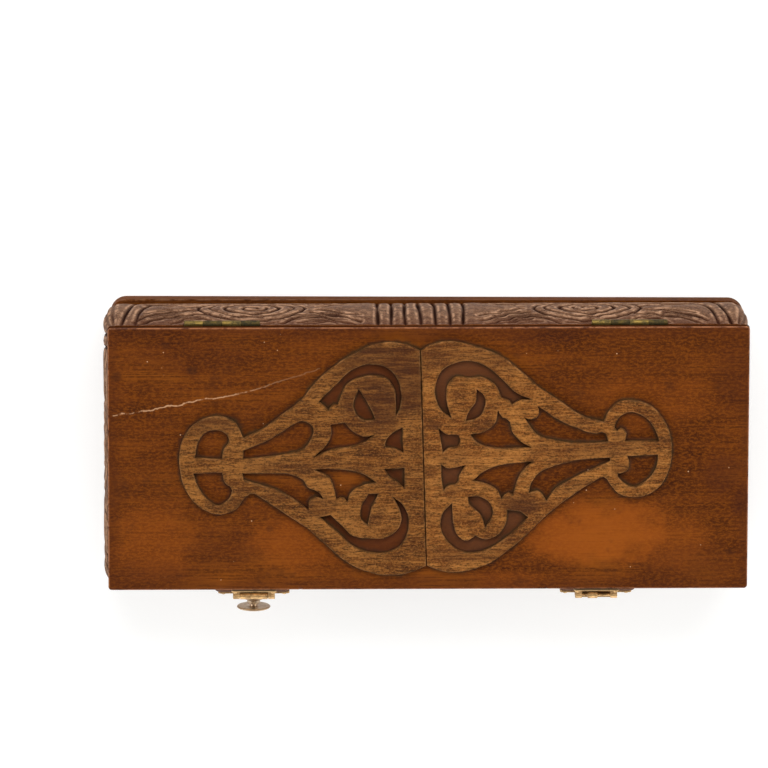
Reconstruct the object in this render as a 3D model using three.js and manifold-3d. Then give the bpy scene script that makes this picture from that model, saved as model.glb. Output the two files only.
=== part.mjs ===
// A long, low wooden jewelry box. Four carved, slightly convex walls stand on a base board. A flat lid
// turns on two small butt hinges at the rear, and carries a sawn fretwork ornament in two halves. Two
// brass hasps hang from the lid's front edge.
//
// Millimetres. +X is the length, +Y the rear, +Z up. The origin is the middle of the base's underside.

import * as THREE from 'three';
import { mergeVertices } from 'three/addons/utils/BufferGeometryUtils.js';
import Module from 'manifold-3d';

// ---- driving dimensions ----

const GAP = 0.3;

const LID = { length: 220, depth: 92.8, thickness: 3.5, corner: 1.2, rear: 46 };
// The base board was fixed a little to the right and a little askew: turn is its angle about Z.
const BASE = { length: 218.7, depth: 94.6, thickness: 5, corner: 5.5, x: 0.15, turn: -0.0054 };
const WALL = { length: 217, depth: 92.2, height: 31.2, thickness: 6, bulge: 2.4, corner: 5 };
// The lid sits a little to the right of the walls.
const BODY_X = -0.6;
const FRET = { thickness: 1.8, step: 1.5 };
const LINING = { thickness: 1.5 };

const WALL_TOP = BASE.thickness + WALL.height;
const LID_BOTTOM = WALL_TOP + GAP;
const LID_TOP = LID_BOTTOM + LID.thickness;
const LID_FRONT = LID.rear - LID.depth;

const HINGE = {
  centres: { left: -70.8, right: 68.9 },
  length: 26,
  knuckles: 4,
  barrelRadius: 1.1,
  pinRadius: 0.45,
  leafThickness: 0.8,
  leafFront: 41.6,
  axisY: LID.rear + 0.6,
  axisZ: (WALL_TOP + LID_BOTTOM) / 2,
  screwSpacing: 15,
  screwY: 43.3,
};
const SCREW = { headRadius: 1.3, headDepth: 0.7, shankRadius: 0.6 };
const LID_SCREW_LENGTH = 2.4;
const WALL_SCREW_LENGTH = 7;

const CATCH = {
  centres: { left: -59.9, right: 58.1 },
  leafWidth: 15.6,
  leafHeight: 3.1,
  leafThickness: 0.8,
  axisOut: 3,
  knuckleRadius: 1.1,
  pinRadius: 0.45,
  centreKnuckle: 9.4,
  outerKnuckle: 2.3,
  hingeGap: 0.3,
  leafNailSpacing: 13,
  leafNailRise: 2.3,
};
const HASP = { width: 14.4, drop: 20, thickness: 0.8, out: 3.4, knobDrop: 13 };
const KNOB = { discOut: 9.4, discRadius: 5.8, discThickness: 0.7, collarRadius: 4.1, neckRadius: 2.4 };
const PAD = { width: 25.6, drop: 20.2, out: 2.4, topOut: 1.1, chamfer: 2.4 };
const KEEPER = { width: 24.6, height: 15, thickness: 0.7, top: 33.2, nailSpacing: 21, nailDrop: 2.2 };
const NAIL = { headRadius: 1, headHeight: 0.8, shankRadius: 0.45, length: 6 };

const CATCH_AXIS_Y = LID_FRONT - CATCH.axisOut;
const CATCH_AXIS_Z = LID_BOTTOM + 0.2;

// ---- solids ----

const wasm = await Module();
wasm.setup();

/** A closed three.js geometry as a manifold solid. */
function solid(geometry) {
  const plain = geometry.clone();
  plain.deleteAttribute('normal');
  plain.deleteAttribute('uv');
  const merged = mergeVertices(plain);
  return new wasm.Manifold(
    new wasm.Mesh({
      numProp: 3,
      vertProperties: new Float32Array(merged.attributes.position.array),
      triVerts: new Uint32Array(merged.index.array),
    }),
  );
}

/** A manifold solid as a three.js geometry. */
function geometryOf(manifold) {
  const out = manifold.getMesh();
  const geometry = new THREE.BufferGeometry();
  geometry.setAttribute('position', new THREE.BufferAttribute(new Float32Array(out.vertProperties), 3));
  geometry.setIndex(new THREE.BufferAttribute(new Uint32Array(out.triVerts), 1));
  geometry.computeVertexNormals();
  return geometry;
}

function join(...solids) {
  return solids.reduce((whole, next) => whole.add(next));
}

function cut(whole, ...tools) {
  return tools.reduce((rest, tool) => rest.subtract(tool), whole);
}

function box(x0, x1, y0, y1, z0, z1) {
  const geometry = new THREE.BoxGeometry(x1 - x0, y1 - y0, z1 - z0);
  geometry.translate((x0 + x1) / 2, (y0 + y1) / 2, (z0 + z1) / 2);
  return solid(geometry);
}

/** A round bar along X from x0 to x1. */
function barX(radius, x0, x1, y, z, sides = 18) {
  const geometry = new THREE.CylinderGeometry(radius, radius, x1 - x0, sides);
  geometry.rotateZ(Math.PI / 2);
  geometry.translate((x0 + x1) / 2, y, z);
  return solid(geometry);
}

/** A shape drawn in X and Y, from z0 up to z1. */
function plate(shape, z0, z1) {
  const options = { depth: z1 - z0, bevelEnabled: false, curveSegments: 6 };
  const geometry = new THREE.ExtrudeGeometry(shape, options);
  geometry.translate(0, 0, z0);
  return solid(geometry);
}

/** A shape drawn in X and Z, from its rear face at y to y - thickness. */
function upright(shape, y, thickness) {
  const options = { depth: thickness, bevelEnabled: false, curveSegments: 8 };
  const geometry = new THREE.ExtrudeGeometry(shape, options);
  geometry.rotateX(Math.PI / 2);
  geometry.translate(0, y, 0);
  return solid(geometry);
}

/** A section drawn in Y and Z, from x0 to x1. */
function section(shape, x0, x1) {
  const options = { depth: x1 - x0, bevelEnabled: false, curveSegments: 8 };
  const geometry = new THREE.ExtrudeGeometry(shape, options);
  geometry.translate(0, 0, x0);
  // The shape's x and y and the extrusion become Y, Z and X.
  const basis = new THREE.Matrix4().makeBasis(
    new THREE.Vector3(0, 1, 0),
    new THREE.Vector3(0, 0, 1),
    new THREE.Vector3(1, 0, 0),
  );
  return geometry.applyMatrix4(basis);
}

/** A turned piece: profile points are [radius, distance along the axis]; direction is where it points. */
function turned(profile, direction, x, y, z, sides = 20) {
  const points = profile.map(([radius, along]) => new THREE.Vector2(radius, along));
  const geometry = new THREE.LatheGeometry(points, sides);
  const turn = new THREE.Quaternion();
  turn.setFromUnitVectors(new THREE.Vector3(0, 1, 0), direction);
  geometry.applyQuaternion(turn);
  geometry.translate(x, y, z);
  return solid(geometry);
}

const UP = new THREE.Vector3(0, 0, 1);
const DOWN = new THREE.Vector3(0, 0, -1);
const FORWARD = new THREE.Vector3(0, -1, 0);

/** A rectangle with round corners, centred on the origin. */
function roundedRectangle(length, depth, radius) {
  const x = length / 2 - radius;
  const y = depth / 2 - radius;
  const shape = new THREE.Shape();
  shape.absarc(x, y, radius, 0, Math.PI / 2, false);
  shape.absarc(-x, y, radius, Math.PI / 2, Math.PI, false);
  shape.absarc(-x, -y, radius, Math.PI, 1.5 * Math.PI, false);
  shape.absarc(x, -y, radius, 1.5 * Math.PI, 2 * Math.PI, false);
  return shape;
}

// ---- pieces ----

const box3d = new THREE.Group();

const WOOD = { color: 0x6b3717, roughness: 0.5, metalness: 0 };
const FRET_WOOD = { color: 0x80491f, roughness: 0.55, metalness: 0 };
const CARVED_WOOD = { color: 0x7e5c46, roughness: 0.65, metalness: 0 };
const BRASS = { color: 0x7d6236, roughness: 0.4, metalness: 0.9 };
const STEEL = { color: 0x9a8468, roughness: 0.35, metalness: 0.9 };
const FELT = { color: 0x5b1620, roughness: 0.95, metalness: 0 };

function piece(name, manifold, finish) {
  const mesh = new THREE.Mesh(geometryOf(manifold), new THREE.MeshStandardMaterial(finish));
  mesh.name = name;
  box3d.add(mesh);
  return mesh;
}

// ---- base, walls and lining ----

function makeBase() {
  const board = plate(roundedRectangle(BASE.length, BASE.depth, BASE.corner), 0, BASE.thickness);
  const mesh = piece('base_board', board, WOOD);
  mesh.position.x = BASE.x;
  mesh.rotation.z = BASE.turn;
}

/** A wall's section, standing on the base: a flat inner face and a convex outer face. */
function wallSection(outer) {
  const inner = outer - WALL.thickness;
  const shape = new THREE.Shape();
  shape.moveTo(inner, BASE.thickness);
  shape.lineTo(outer, BASE.thickness);
  // A quadratic curve's middle lies half way to its control point.
  shape.quadraticCurveTo(outer + 2 * WALL.bulge, BASE.thickness + WALL.height / 2, outer, WALL_TOP);
  shape.lineTo(inner, WALL_TOP);
  shape.closePath();
  return shape;
}

/**
 * The plan region between a wall's two mitre lines, on the side that looks towards +Y. The lines cross
 * the X axis at offset and -offset. Where offset is negative they meet beyond it, at the region's tip.
 */
function mitreRegion(offset, reach) {
  const tip = Math.max(0, -offset);
  const shape = new THREE.Shape();
  shape.moveTo(offset + tip, tip);
  shape.lineTo(offset + reach, reach);
  shape.lineTo(-offset - reach, reach);
  if (tip === 0) shape.lineTo(-offset, 0);
  shape.closePath();
  const geometry = new THREE.ExtrudeGeometry(shape, { depth: 2 * LID_TOP, bevelEnabled: false });
  geometry.translate(0, 0, -LID_TOP / 2);
  return geometry;
}

/** How far the mitre cutters reach past the walls' straight faces. */
const MITRE_REACH = 4;

/** One wall. halfSpan is half of the box across the wall, and turn is its direction about Z. */
function wall(halfSpan, halfLength, turn) {
  const reach = halfLength + WALL.bulge;
  const body = section(wallSection(halfSpan), -reach, reach).rotateZ(turn);
  const offset = halfLength - halfSpan;
  const seam = GAP * Math.SQRT1_2;
  const region = mitreRegion(offset - seam, halfSpan + MITRE_REACH);
  const corners = roundedRectangle(
    WALL.length + 2 * WALL.bulge,
    WALL.depth + 2 * WALL.bulge,
    WALL.corner,
  );
  return solid(body)
    .intersect(solid(region.rotateZ(turn)))
    .intersect(plate(corners, 0, LID_TOP))
    .translate(BODY_X, 0, 0);
}

function makeWalls() {
  const halfLength = WALL.length / 2;
  const halfDepth = WALL.depth / 2;
  let rear = wall(halfDepth, halfLength, 0);
  let front = wall(halfDepth, halfLength, Math.PI);
  const left = wall(halfLength, halfDepth, Math.PI / 2);
  const right = wall(halfLength, halfDepth, -Math.PI / 2);
  for (const centre of Object.values(HINGE.centres)) {
    rear = cut(rear, hingeSeat(centre, -1), ...screwHoles(centre, -1));
  }
  for (const centre of Object.values(CATCH.centres)) {
    front = front.add(pad(centre));
    front = cut(front, ...nailHoles(keeperNails(centre)));
  }
  piece('front_wall', front, CARVED_WOOD);
  piece('rear_wall', rear, CARVED_WOOD);
  piece('left_wall', left, CARVED_WOOD);
  piece('right_wall', right, CARVED_WOOD);
}

function makeLining() {
  const halfLength = WALL.length / 2 - WALL.thickness - GAP;
  const halfDepth = WALL.depth / 2 - WALL.thickness - GAP;
  const top = BASE.thickness + LINING.thickness;
  const sheet = box(-halfLength, halfLength, -halfDepth, halfDepth, BASE.thickness, top);
  piece('floor_lining', sheet.translate(BODY_X, 0, 0), FELT);
}

// ---- lid ----

function makeLid() {
  let lid = plate(roundedRectangle(LID.length, LID.depth, LID.corner), LID_BOTTOM, LID_TOP);
  lid = lid.translate(0, (LID_FRONT + LID.rear) / 2, 0);
  for (const centre of Object.values(HINGE.centres)) {
    lid = cut(lid, hingeSeat(centre, 1), ...screwHoles(centre, 1));
  }
  for (const centre of Object.values(CATCH.centres)) {
    lid = cut(lid, ...nailHoles(leafNails(centre)));
  }
  piece('lid_panel', lid, WOOD);
}

// ---- fretwork ----
//
// An outline is a list of [x, y] points that a smooth curve runs through. A point with a third number, 1,
// is a corner where the curve breaks.

/** Points along the smooth curve through a run of points. */
function smoothRun(run) {
  if (run.length === 2) return [run[0]];
  const knots = run.map(([x, y]) => new THREE.Vector3(x, y, 0));
  const curve = new THREE.CatmullRomCurve3(knots, false, 'centripetal');
  const count = Math.max(1, Math.round(curve.getLength() / FRET.step));
  return curve.getSpacedPoints(count).slice(0, -1).map((p) => [p.x, p.y]);
}

/** The closed outline as points, starting from its first corner. */
function outline(points) {
  const loop = [...points, points[0]];
  const result = [];
  let start = 0;
  for (let i = 1; i < loop.length; i += 1) {
    if (loop[i][2] === 1) {
      result.push(...smoothRun(loop.slice(start, i + 1)));
      start = i;
    }
  }
  return result.map(([x, y]) => new THREE.Vector2(x, y));
}

const LEFT_HALF = {
  outer: [
    [-3.2, 38, 1], [-8, 40.3], [-14, 41.1], [-20, 40.1], [-25.3, 37.5], [-32.8, 32.6], [-39.3, 26.6],
    [-44.1, 20.6], [-50, 16], [-57, 10.7], [-63.6, 7.4, 1], [-66.7, 13], [-71.6, 15.1], [-77.4, 14.2],
    [-82.5, 10.3], [-85.3, 4.3], [-85.5, -3.5], [-83.6, -10.6], [-79.2, -16.5], [-72.9, -19.5],
    [-66.5, -17.9], [-63, -13.5], [-60.6, -12.1], [-56.8, -14.2], [-48.6, -19.9], [-41.4, -24.8],
    [-34.5, -31.2], [-28.7, -36.2], [-22.8, -39.4], [-16, -41.2], [-8, -40.8], [-0.9, -38, 1],
  ],
  ringUpper: [
    [-80.3, 0.4, 1], [-71, 0, 1], [-70.6, 3], [-68.6, 6.4], [-69.8, 9.2], [-73, 10.3], [-76.6, 9.5],
    [-79.3, 5.8],
  ],
  ringLower: [
    [-80.8, -5, 1], [-79.5, -9.3], [-76.5, -13.8], [-72.5, -16.5], [-69.3, -14.7], [-67.5, -10.5],
    [-70.2, -8.2], [-70.9, -4.7, 1],
  ],
  upperLong: [
    [-63.7, 3.2, 1], [-57, 5.8], [-51.6, 8.9], [-46, 12.5], [-43.2, 13.5], [-39.8, 11.2], [-40.3, 7.4],
    [-43, 3.6], [-51, 1.4], [-63.7, 0, 1],
  ],
  lowerLong: [
    [-64, -5, 1], [-56, -5], [-48.2, -5.3], [-43.4, -7.3], [-41.7, -9.9], [-38, -11.7], [-36.2, -14.2, 1],
    [-39, -13.6], [-41.2, -15], [-41.3, -18.2, 1], [-46.5, -14.2], [-52, -11.1], [-58, -9.2],
    [-63.7, -7.3, 1],
  ],
  upperMiddle: [
    [-33.8, 12.1, 1], [-29, 12.8, 1], [-26, 9.6], [-22, 7.8], [-18.6, 8.6, 1], [-22, 6], [-27, 4.3],
    [-33.5, 3.2], [-39.5, 0.7, 1], [-35.3, 4.8], [-33.5, 8.5],
  ],
  lowerMiddle: [
    [-39.5, -3.9, 1], [-36, -3.5], [-25, -4.5], [-21.4, -6], [-18.3, -8.3, 1], [-23, -9.6], [-26.8, -12],
    [-28, -15.3, 1], [-29.5, -13.7], [-31.8, -14.4, 1], [-32.6, -10.5], [-34.3, -6.6],
  ],
  upperCrescent: [
    [-38, 20.2, 1], [-34.5, 23.8], [-31.4, 26.8], [-28.3, 30.1], [-24.2, 32.6], [-19.4, 33.4],
    [-14.6, 32.2], [-11.3, 28.8], [-9.8, 24.5], [-9.8, 19], [-11.4, 15, 1], [-11.4, 19], [-11.8, 23.8],
    [-14.2, 28], [-18.5, 29.4], [-25, 28.3], [-28.6, 25.8], [-30.4, 21.8], [-31.4, 19, 1],
    [-32.8, 19.2], [-34.5, 17.3, 1], [-36, 18.8],
  ],
  upperDrop: [
    [-24.2, 24.6, 1], [-25.9, 19.5], [-24.7, 15.2], [-21.5, 13.5], [-18.5, 14, 1], [-20.2, 18],
    [-22.2, 21.6],
  ],
  upperSmall: [[-9.2, 11, 1], [-13, 8.8], [-15, 5.8], [-14.9, 3.9, 1], [-11.5, 3.5], [-8.8, 2.1, 1]],
  lowerSmall: [[-15.3, -3.5, 1], [-12, -3.6], [-8.4, -3.2, 1], [-8.4, -10.6, 1], [-11, -8.2], [-13.6, -6.4]],
  lowerDrop: [
    [-20.8, -12.4, 1], [-17.3, -12.4, 1], [-19.6, -17.3], [-21, -23.5, 1], [-23.2, -21.5], [-23.3, -17.5],
  ],
  lowerCrescent: [
    [-12.6, -13.4, 1], [-9, -16.3], [-7, -21], [-7.4, -26.6], [-10.1, -31.2], [-14.5, -33.3], [-20, -33.3],
    [-26, -31], [-31, -26.4], [-37.6, -20.6, 1], [-33.8, -19.9, 1], [-30, -23.4], [-26.6, -27],
    [-21, -28.2], [-15, -28], [-11, -25.4], [-9.4, -21.5], [-10.5, -17],
  ],
};

const RIGHT_HALF = {
  outer: [
    [-2.6, 38, 1], [0.5, 40.1], [5.7, 41.3], [11.2, 40.8], [17.7, 39], [24.5, 36.2], [31.4, 31],
    [38.3, 24.8], [44.4, 20.6], [53.7, 14.5], [60.2, 12.8, 1], [62, 16.8], [65.7, 19.9], [71.6, 20.2],
    [76.7, 18.1], [80.8, 13.5], [83.2, 7.4], [83.6, 0], [81.2, -7.8], [77, -12.2], [71.2, -13.9],
    [65.7, -12.6], [62.3, -9], [60.6, -6.7], [55.4, -9.2], [46.2, -15.6], [40, -20.9], [34.8, -26.2],
    [28, -32.3], [21.1, -37.2], [14.2, -39.6], [7.4, -40.3], [2.2, -39], [-0.3, -37.8, 1],
  ],
  upperCrescent: [
    [8, 14.3, 1], [4.5, 17], [2.4, 22], [2.7, 27], [5.2, 31.7], [9.5, 33.9], [15, 34.4], [20.1, 32.4],
    [25.2, 28], [30.4, 23], [35.4, 20.9, 1], [31.4, 20.5], [28.7, 19, 1], [27.8, 20.4], [25.2, 21.3, 1],
    [22.8, 26], [18, 28.7], [14, 28.4], [9.5, 28.8], [6.6, 25.8], [6.2, 20.5],
  ],
  upperDrop: [
    [16.5, 24.6, 1], [19.2, 22], [19.4, 18.3], [17.5, 14.7], [12.8, 13.1, 1], [13.6, 16], [16.2, 20],
  ],
  upperSmall: [[3.6, 10.7, 1], [6.3, 8.6], [10.4, 8.3], [10.4, 4.3], [6.9, 3.7], [5, 2, 1], [4.3, 6.4]],
  upperMiddle: [
    [14.5, 8.5, 1], [19.4, 9.6], [22.8, 12.3], [23.9, 17.1, 1], [25.4, 14.6], [27.7, 13.4], [28.6, 10],
    [31, 6.7], [35.3, 3.9, 1], [28.7, 3.7], [20.5, 4], [16.3, 6],
  ],
  upperLong: [
    [33, 14.5, 1], [35.2, 13.8], [37.8, 15], [37.6, 18.5, 1], [44.4, 13.8], [51.3, 10.6], [57.5, 8.7],
    [60.2, 9.2], [61.9, 5.8, 1], [54, 5.3], [45.1, 5.9], [37.6, 8.2], [34.8, 11.5],
  ],
  ringUpper: [
    [67.4, 5.9, 1], [79.2, 5.9, 1], [77.9, 9.8], [74.8, 14.1], [69.5, 16.3], [65.5, 14.4], [63.9, 10.6],
    [64.8, 9.6], [66.2, 10.6], [68, 9.2],
  ],
  ringLower: [
    [68.5, 0.7, 1], [79, 1.2, 1], [78.2, -3.8], [75.3, -7.8], [70.6, -10.3], [66.8, -8.5], [65, -5.6],
    [66.7, -5.2], [68.6, -4.3], [69.1, -2],
  ],
  lowerLong: [
    [62.4, 0.2, 1], [52, -0.6], [44.5, -2.3], [38.3, -5], [35.6, -8.4], [34.7, -12.1, 1], [38, -11.7],
    [40.7, -15, 1], [43.3, -11.4], [49.2, -7.4], [56, -4.1], [62.4, -1.2, 1],
  ],
  lowerMiddle: [
    [15.2, -7.9, 1], [19.5, -4.4], [24.5, -2.4], [36.3, -1.1, 1], [32.8, -3.9], [30.7, -7.8],
    [29.2, -12.9, 1], [27.3, -12.1], [25.2, -14.3, 1], [23.4, -11], [19.3, -8.8],
  ],
  lowerSmall: [
    [4.5, -2, 1], [6.8, -3.4], [12.9, -2.4, 1], [10.8, -6], [9.8, -9], [6.8, -9.8], [5.4, -11.4, 1],
    [4.6, -7],
  ],
  lowerDrop: [
    [13.8, -13.6, 1], [17.5, -13.4], [21, -15.6], [22.3, -19.7], [19.7, -24.6, 1], [18.2, -20.2],
    [14.2, -16.3],
  ],
  lowerCrescent: [
    [8.2, -15.8, 1], [5, -19.5], [4.5, -25], [6.8, -29.6], [11, -32.7], [16.6, -33.4], [22.5, -31.2],
    [28.5, -26.8], [34.6, -20.9, 1], [31.7, -18.8, 1], [27.3, -18.3, 1], [26.9, -22.7], [24, -27.1],
    [19.7, -28.6], [16.3, -27.4, 1], [13.2, -29.2], [10, -27], [8.7, -22.5],
  ],
};

function makeFretwork() {
  for (const [side, half] of [['left', LEFT_HALF], ['right', RIGHT_HALF]]) {
    const { outer, ...openings } = half;
    const blank = plate(new THREE.Shape(outline(outer)), LID_TOP, LID_TOP + FRET.thickness);
    const saws = Object.values(openings).map((points) => {
      return plate(new THREE.Shape(outline(points)), LID_TOP - 1, LID_TOP + FRET.thickness + 1);
    });
    piece(`fretwork_${side}`, cut(blank, ...saws), FRET_WOOD);
  }
}

// ---- hinges ----
//
// side is 1 for the leaf in the lid and -1 for the leaf in the rear wall.

/** The room that a leaf and the barrel take in the wood. */
function hingeSeat(centre, side) {
  const half = HINGE.length / 2 + GAP;
  const face = side > 0 ? LID_BOTTOM : WALL_TOP;
  const depth = HINGE.leafThickness + GAP;
  const z0 = side > 0 ? face - 1 : face - depth;
  const z1 = side > 0 ? face + depth : face + 1;
  return join(
    box(centre - half, centre + half, HINGE.leafFront - GAP, HINGE.axisY, z0, z1),
    barX(HINGE.barrelRadius + GAP + 0.05, centre - half, centre + half, HINGE.axisY, HINGE.axisZ),
  );
}

function screwPlaces(centre) {
  return [centre - HINGE.screwSpacing / 2, centre + HINGE.screwSpacing / 2];
}

/** Where a leaf's screw heads lie, flush with the leaf's bare face. */
function screwFace(side) {
  return side > 0 ? LID_BOTTOM : WALL_TOP;
}

function screwHoles(centre, side) {
  const direction = side > 0 ? UP : DOWN;
  const length = (side > 0 ? LID_SCREW_LENGTH : WALL_SCREW_LENGTH) + GAP;
  const radius = SCREW.shankRadius + GAP;
  const profile = [[0, 0], [radius, 0], [radius, length], [0, length]];
  return screwPlaces(centre).map((x) => turned(profile, direction, x, HINGE.screwY, screwFace(side), 8));
}

/** The countersunk hole through a leaf. */
function countersink(x, side) {
  const direction = side > 0 ? UP : DOWN;
  const wide = SCREW.headRadius + GAP;
  const narrow = SCREW.shankRadius + GAP;
  const profile = [[0, -1], [wide, -1], [wide, 0], [narrow, SCREW.headDepth], [narrow, 3], [0, 3]];
  return turned(profile, direction, x, HINGE.screwY, screwFace(side), 12);
}

function screw(x, side) {
  const length = side > 0 ? LID_SCREW_LENGTH : WALL_SCREW_LENGTH;
  const profile = [
    [0, 0],
    [SCREW.headRadius, 0],
    [SCREW.shankRadius, SCREW.headDepth],
    [SCREW.shankRadius, length - 0.8],
    [0, length],
  ];
  return turned(profile, side > 0 ? UP : DOWN, x, HINGE.screwY, screwFace(side), 12);
}

/** A leaf with every second knuckle. Counted from the left, the lid has knuckles 0 and 2. */
function hingeLeaf(centre, side) {
  const pitch = HINGE.length / HINGE.knuckles;
  const left = centre - HINGE.length / 2;
  const z0 = side > 0 ? LID_BOTTOM : WALL_TOP - HINGE.leafThickness;
  const z1 = z0 + HINGE.leafThickness;
  let leaf = box(left, left + HINGE.length, HINGE.leafFront, HINGE.axisY, z0, z1);
  const clear = HINGE.barrelRadius + GAP;
  for (let i = 0; i < HINGE.knuckles; i += 1) {
    const x0 = left + i * pitch;
    const own = (i % 2 === 0) === side > 0;
    if (!own) leaf = cut(leaf, barX(clear, x0 - GAP / 2, x0 + pitch + GAP / 2, HINGE.axisY, HINGE.axisZ));
  }
  for (let i = 0; i < HINGE.knuckles; i += 1) {
    const x0 = left + i * pitch;
    const own = (i % 2 === 0) === side > 0;
    const end = x0 + pitch - GAP / 2;
    if (own) leaf = leaf.add(barX(HINGE.barrelRadius, x0 + GAP / 2, end, HINGE.axisY, HINGE.axisZ));
  }
  const bore = barX(HINGE.pinRadius + 0.2, left - 1, left + HINGE.length + 1, HINGE.axisY, HINGE.axisZ, 12);
  return cut(leaf, bore, ...screwPlaces(centre).map((x) => countersink(x, side)));
}

function makeHinges() {
  for (const [name, centre] of Object.entries(HINGE.centres)) {
    const half = HINGE.length / 2;
    piece(`hinge_${name}_lid_leaf`, hingeLeaf(centre, 1), BRASS);
    piece(`hinge_${name}_wall_leaf`, hingeLeaf(centre, -1), BRASS);
    const pin = barX(HINGE.pinRadius, centre - half, centre + half, HINGE.axisY, HINGE.axisZ, 12);
    piece(`hinge_${name}_pin`, pin, BRASS);
    screwPlaces(centre).forEach((x, i) => {
      piece(`hinge_${name}_lid_screw_${i + 1}`, screw(x, 1), BRASS);
      piece(`hinge_${name}_wall_screw_${i + 1}`, screw(x, -1), BRASS);
    });
  }
}

// ---- catches ----

/** The raised flat on the front wall that carries a keeper. Its top slopes back under the lid. */
function pad(centre) {
  const bottom = WALL_TOP - PAD.drop;
  const shape = new THREE.Shape();
  shape.moveTo(LID_FRONT + 2, bottom);
  shape.lineTo(LID_FRONT + 2, WALL_TOP);
  shape.lineTo(LID_FRONT - PAD.topOut, WALL_TOP);
  shape.lineTo(LID_FRONT - PAD.out, WALL_TOP - PAD.chamfer);
  shape.lineTo(LID_FRONT - PAD.out, bottom);
  shape.closePath();
  return solid(section(shape, centre - PAD.width / 2, centre + PAD.width / 2));
}

/** Nails as { x, y, z }: y is the face that the head lies on. */
function keeperNails(centre) {
  const y = LID_FRONT - PAD.out - KEEPER.thickness;
  const z = KEEPER.top - KEEPER.nailDrop;
  return [-1, 1].map((sign) => ({ x: centre + (sign * KEEPER.nailSpacing) / 2, y, z }));
}

function leafNails(centre) {
  const y = LID_FRONT - CATCH.leafThickness;
  const z = LID_BOTTOM + CATCH.leafNailRise;
  return [-1, 1].map((sign) => ({ x: centre + (sign * CATCH.leafNailSpacing) / 2, y, z }));
}

function nailHoles(nails) {
  const radius = NAIL.shankRadius + GAP;
  const profile = [[0, 0], [radius, 0], [radius, -NAIL.length - GAP], [0, -NAIL.length - GAP]].reverse();
  return nails.map(({ x, y, z }) => turned(profile, FORWARD, x, y, z, 8));
}

function nail({ x, y, z }) {
  const head = NAIL.headRadius;
  const height = NAIL.headHeight;
  const profile = [
    [0, -NAIL.length],
    [NAIL.shankRadius, -NAIL.length + 1],
    [NAIL.shankRadius, 0],
    [head, 0],
    [head * 0.87, height * 0.5],
    [head * 0.5, height * 0.87],
    [0, height],
  ];
  return turned(profile, FORWARD, x, y, z, 10);
}

/** The leaf on the lid's front edge, with the two outer knuckles of the hasp's hinge. */
function catchLeaf(centre) {
  const half = CATCH.leafWidth / 2;
  const z0 = LID_BOTTOM + 0.2;
  const plateSolid = box(
    centre - half,
    centre + half,
    LID_FRONT - CATCH.leafThickness,
    LID_FRONT,
    z0,
    z0 + CATCH.leafHeight,
  );
  const inner = CATCH.centreKnuckle / 2 + CATCH.hingeGap;
  const outer = inner + CATCH.outerKnuckle;
  let leaf = plateSolid;
  for (const [x0, x1] of [[centre - outer, centre - inner], [centre + inner, centre + outer]]) {
    const web = box(x0, x1, CATCH_AXIS_Y, LID_FRONT - 0.1, z0, z0 + 1);
    leaf = join(leaf, web, barX(CATCH.knuckleRadius, x0, x1, CATCH_AXIS_Y, CATCH_AXIS_Z));
  }
  const bore = barX(CATCH.pinRadius + 0.2, centre - half, centre + half, CATCH_AXIS_Y, CATCH_AXIS_Z, 12);
  return cut(leaf, bore, ...nailHoles(leafNails(centre)));
}

function catchPin(centre) {
  const half = CATCH.centreKnuckle / 2 + CATCH.hingeGap + CATCH.outerKnuckle;
  return barX(CATCH.pinRadius, centre - half, centre + half, CATCH_AXIS_Y, CATCH_AXIS_Z, 12);
}

/** The tongue that hangs from the pin: straight sides and a round lower end. */
function hasp(centre) {
  const half = HASP.width / 2;
  const bottom = CATCH_AXIS_Z - HASP.drop + half;
  const shape = new THREE.Shape();
  shape.moveTo(centre + half, bottom);
  shape.lineTo(centre + half, CATCH_AXIS_Z);
  shape.lineTo(centre - half, CATCH_AXIS_Z);
  shape.absarc(centre, bottom, half, Math.PI, 2 * Math.PI, false);
  const tongue = upright(shape, LID_FRONT - HASP.out, HASP.thickness);
  const inner = CATCH.centreKnuckle / 2;
  const clear = CATCH.knuckleRadius + GAP;
  const shoulders = [[centre - half - 1, centre - inner], [centre + inner, centre + half + 1]].map(
    ([x0, x1]) => box(x0, x1, CATCH_AXIS_Y - 3, CATCH_AXIS_Y + 3, CATCH_AXIS_Z - clear, CATCH_AXIS_Z + 3),
  );
  const knuckle = barX(CATCH.knuckleRadius, centre - inner, centre + inner, CATCH_AXIS_Y, CATCH_AXIS_Z);
  const bore = barX(CATCH.pinRadius + 0.2, centre - half, centre + half, CATCH_AXIS_Y, CATCH_AXIS_Z, 12);
  const rivet = rivetHole(centre);
  return cut(join(cut(tongue, ...shoulders), knuckle), bore, rivet);
}

const RIVET = { radius: 1, z: LID_TOP - HASP.knobDrop };

function rivetHole(centre) {
  const radius = RIVET.radius + GAP / 2;
  const profile = [[0, 0], [radius, 0], [radius, 8], [0, 8]];
  return turned(profile, FORWARD, centre, LID_FRONT, RIVET.z, 16);
}

/** Distance from the hasp's front face. */
const HASP_FACE = HASP.out + HASP.thickness;

/** The turned pull knob, riveted through the hasp. */
function pullKnob(centre) {
  const disc = KNOB.discOut - HASP_FACE;
  const collar = KNOB.collarRadius;
  const neck = KNOB.neckRadius;
  const edge = KNOB.discThickness;
  const profile = [
    [0, -HASP.thickness - 0.3],
    [RIVET.radius, -HASP.thickness - 0.3],
    [RIVET.radius, 0.1],
    [collar, 0.1],
    [collar, 0.9],
    [collar * 0.8, 1.8],
    [neck, 2.6],
    [neck * 0.9, disc - 1],
    [neck * 1.1, disc - edge * 0.5],
    [KNOB.discRadius * 0.93, disc - edge * 0.5],
    [KNOB.discRadius, disc],
    [KNOB.discRadius * 0.93, disc + edge * 0.5],
    [0, disc + edge * 0.8],
  ];
  return turned(profile, FORWARD, centre, LID_FRONT - HASP_FACE, RIVET.z, 24);
}

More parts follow.
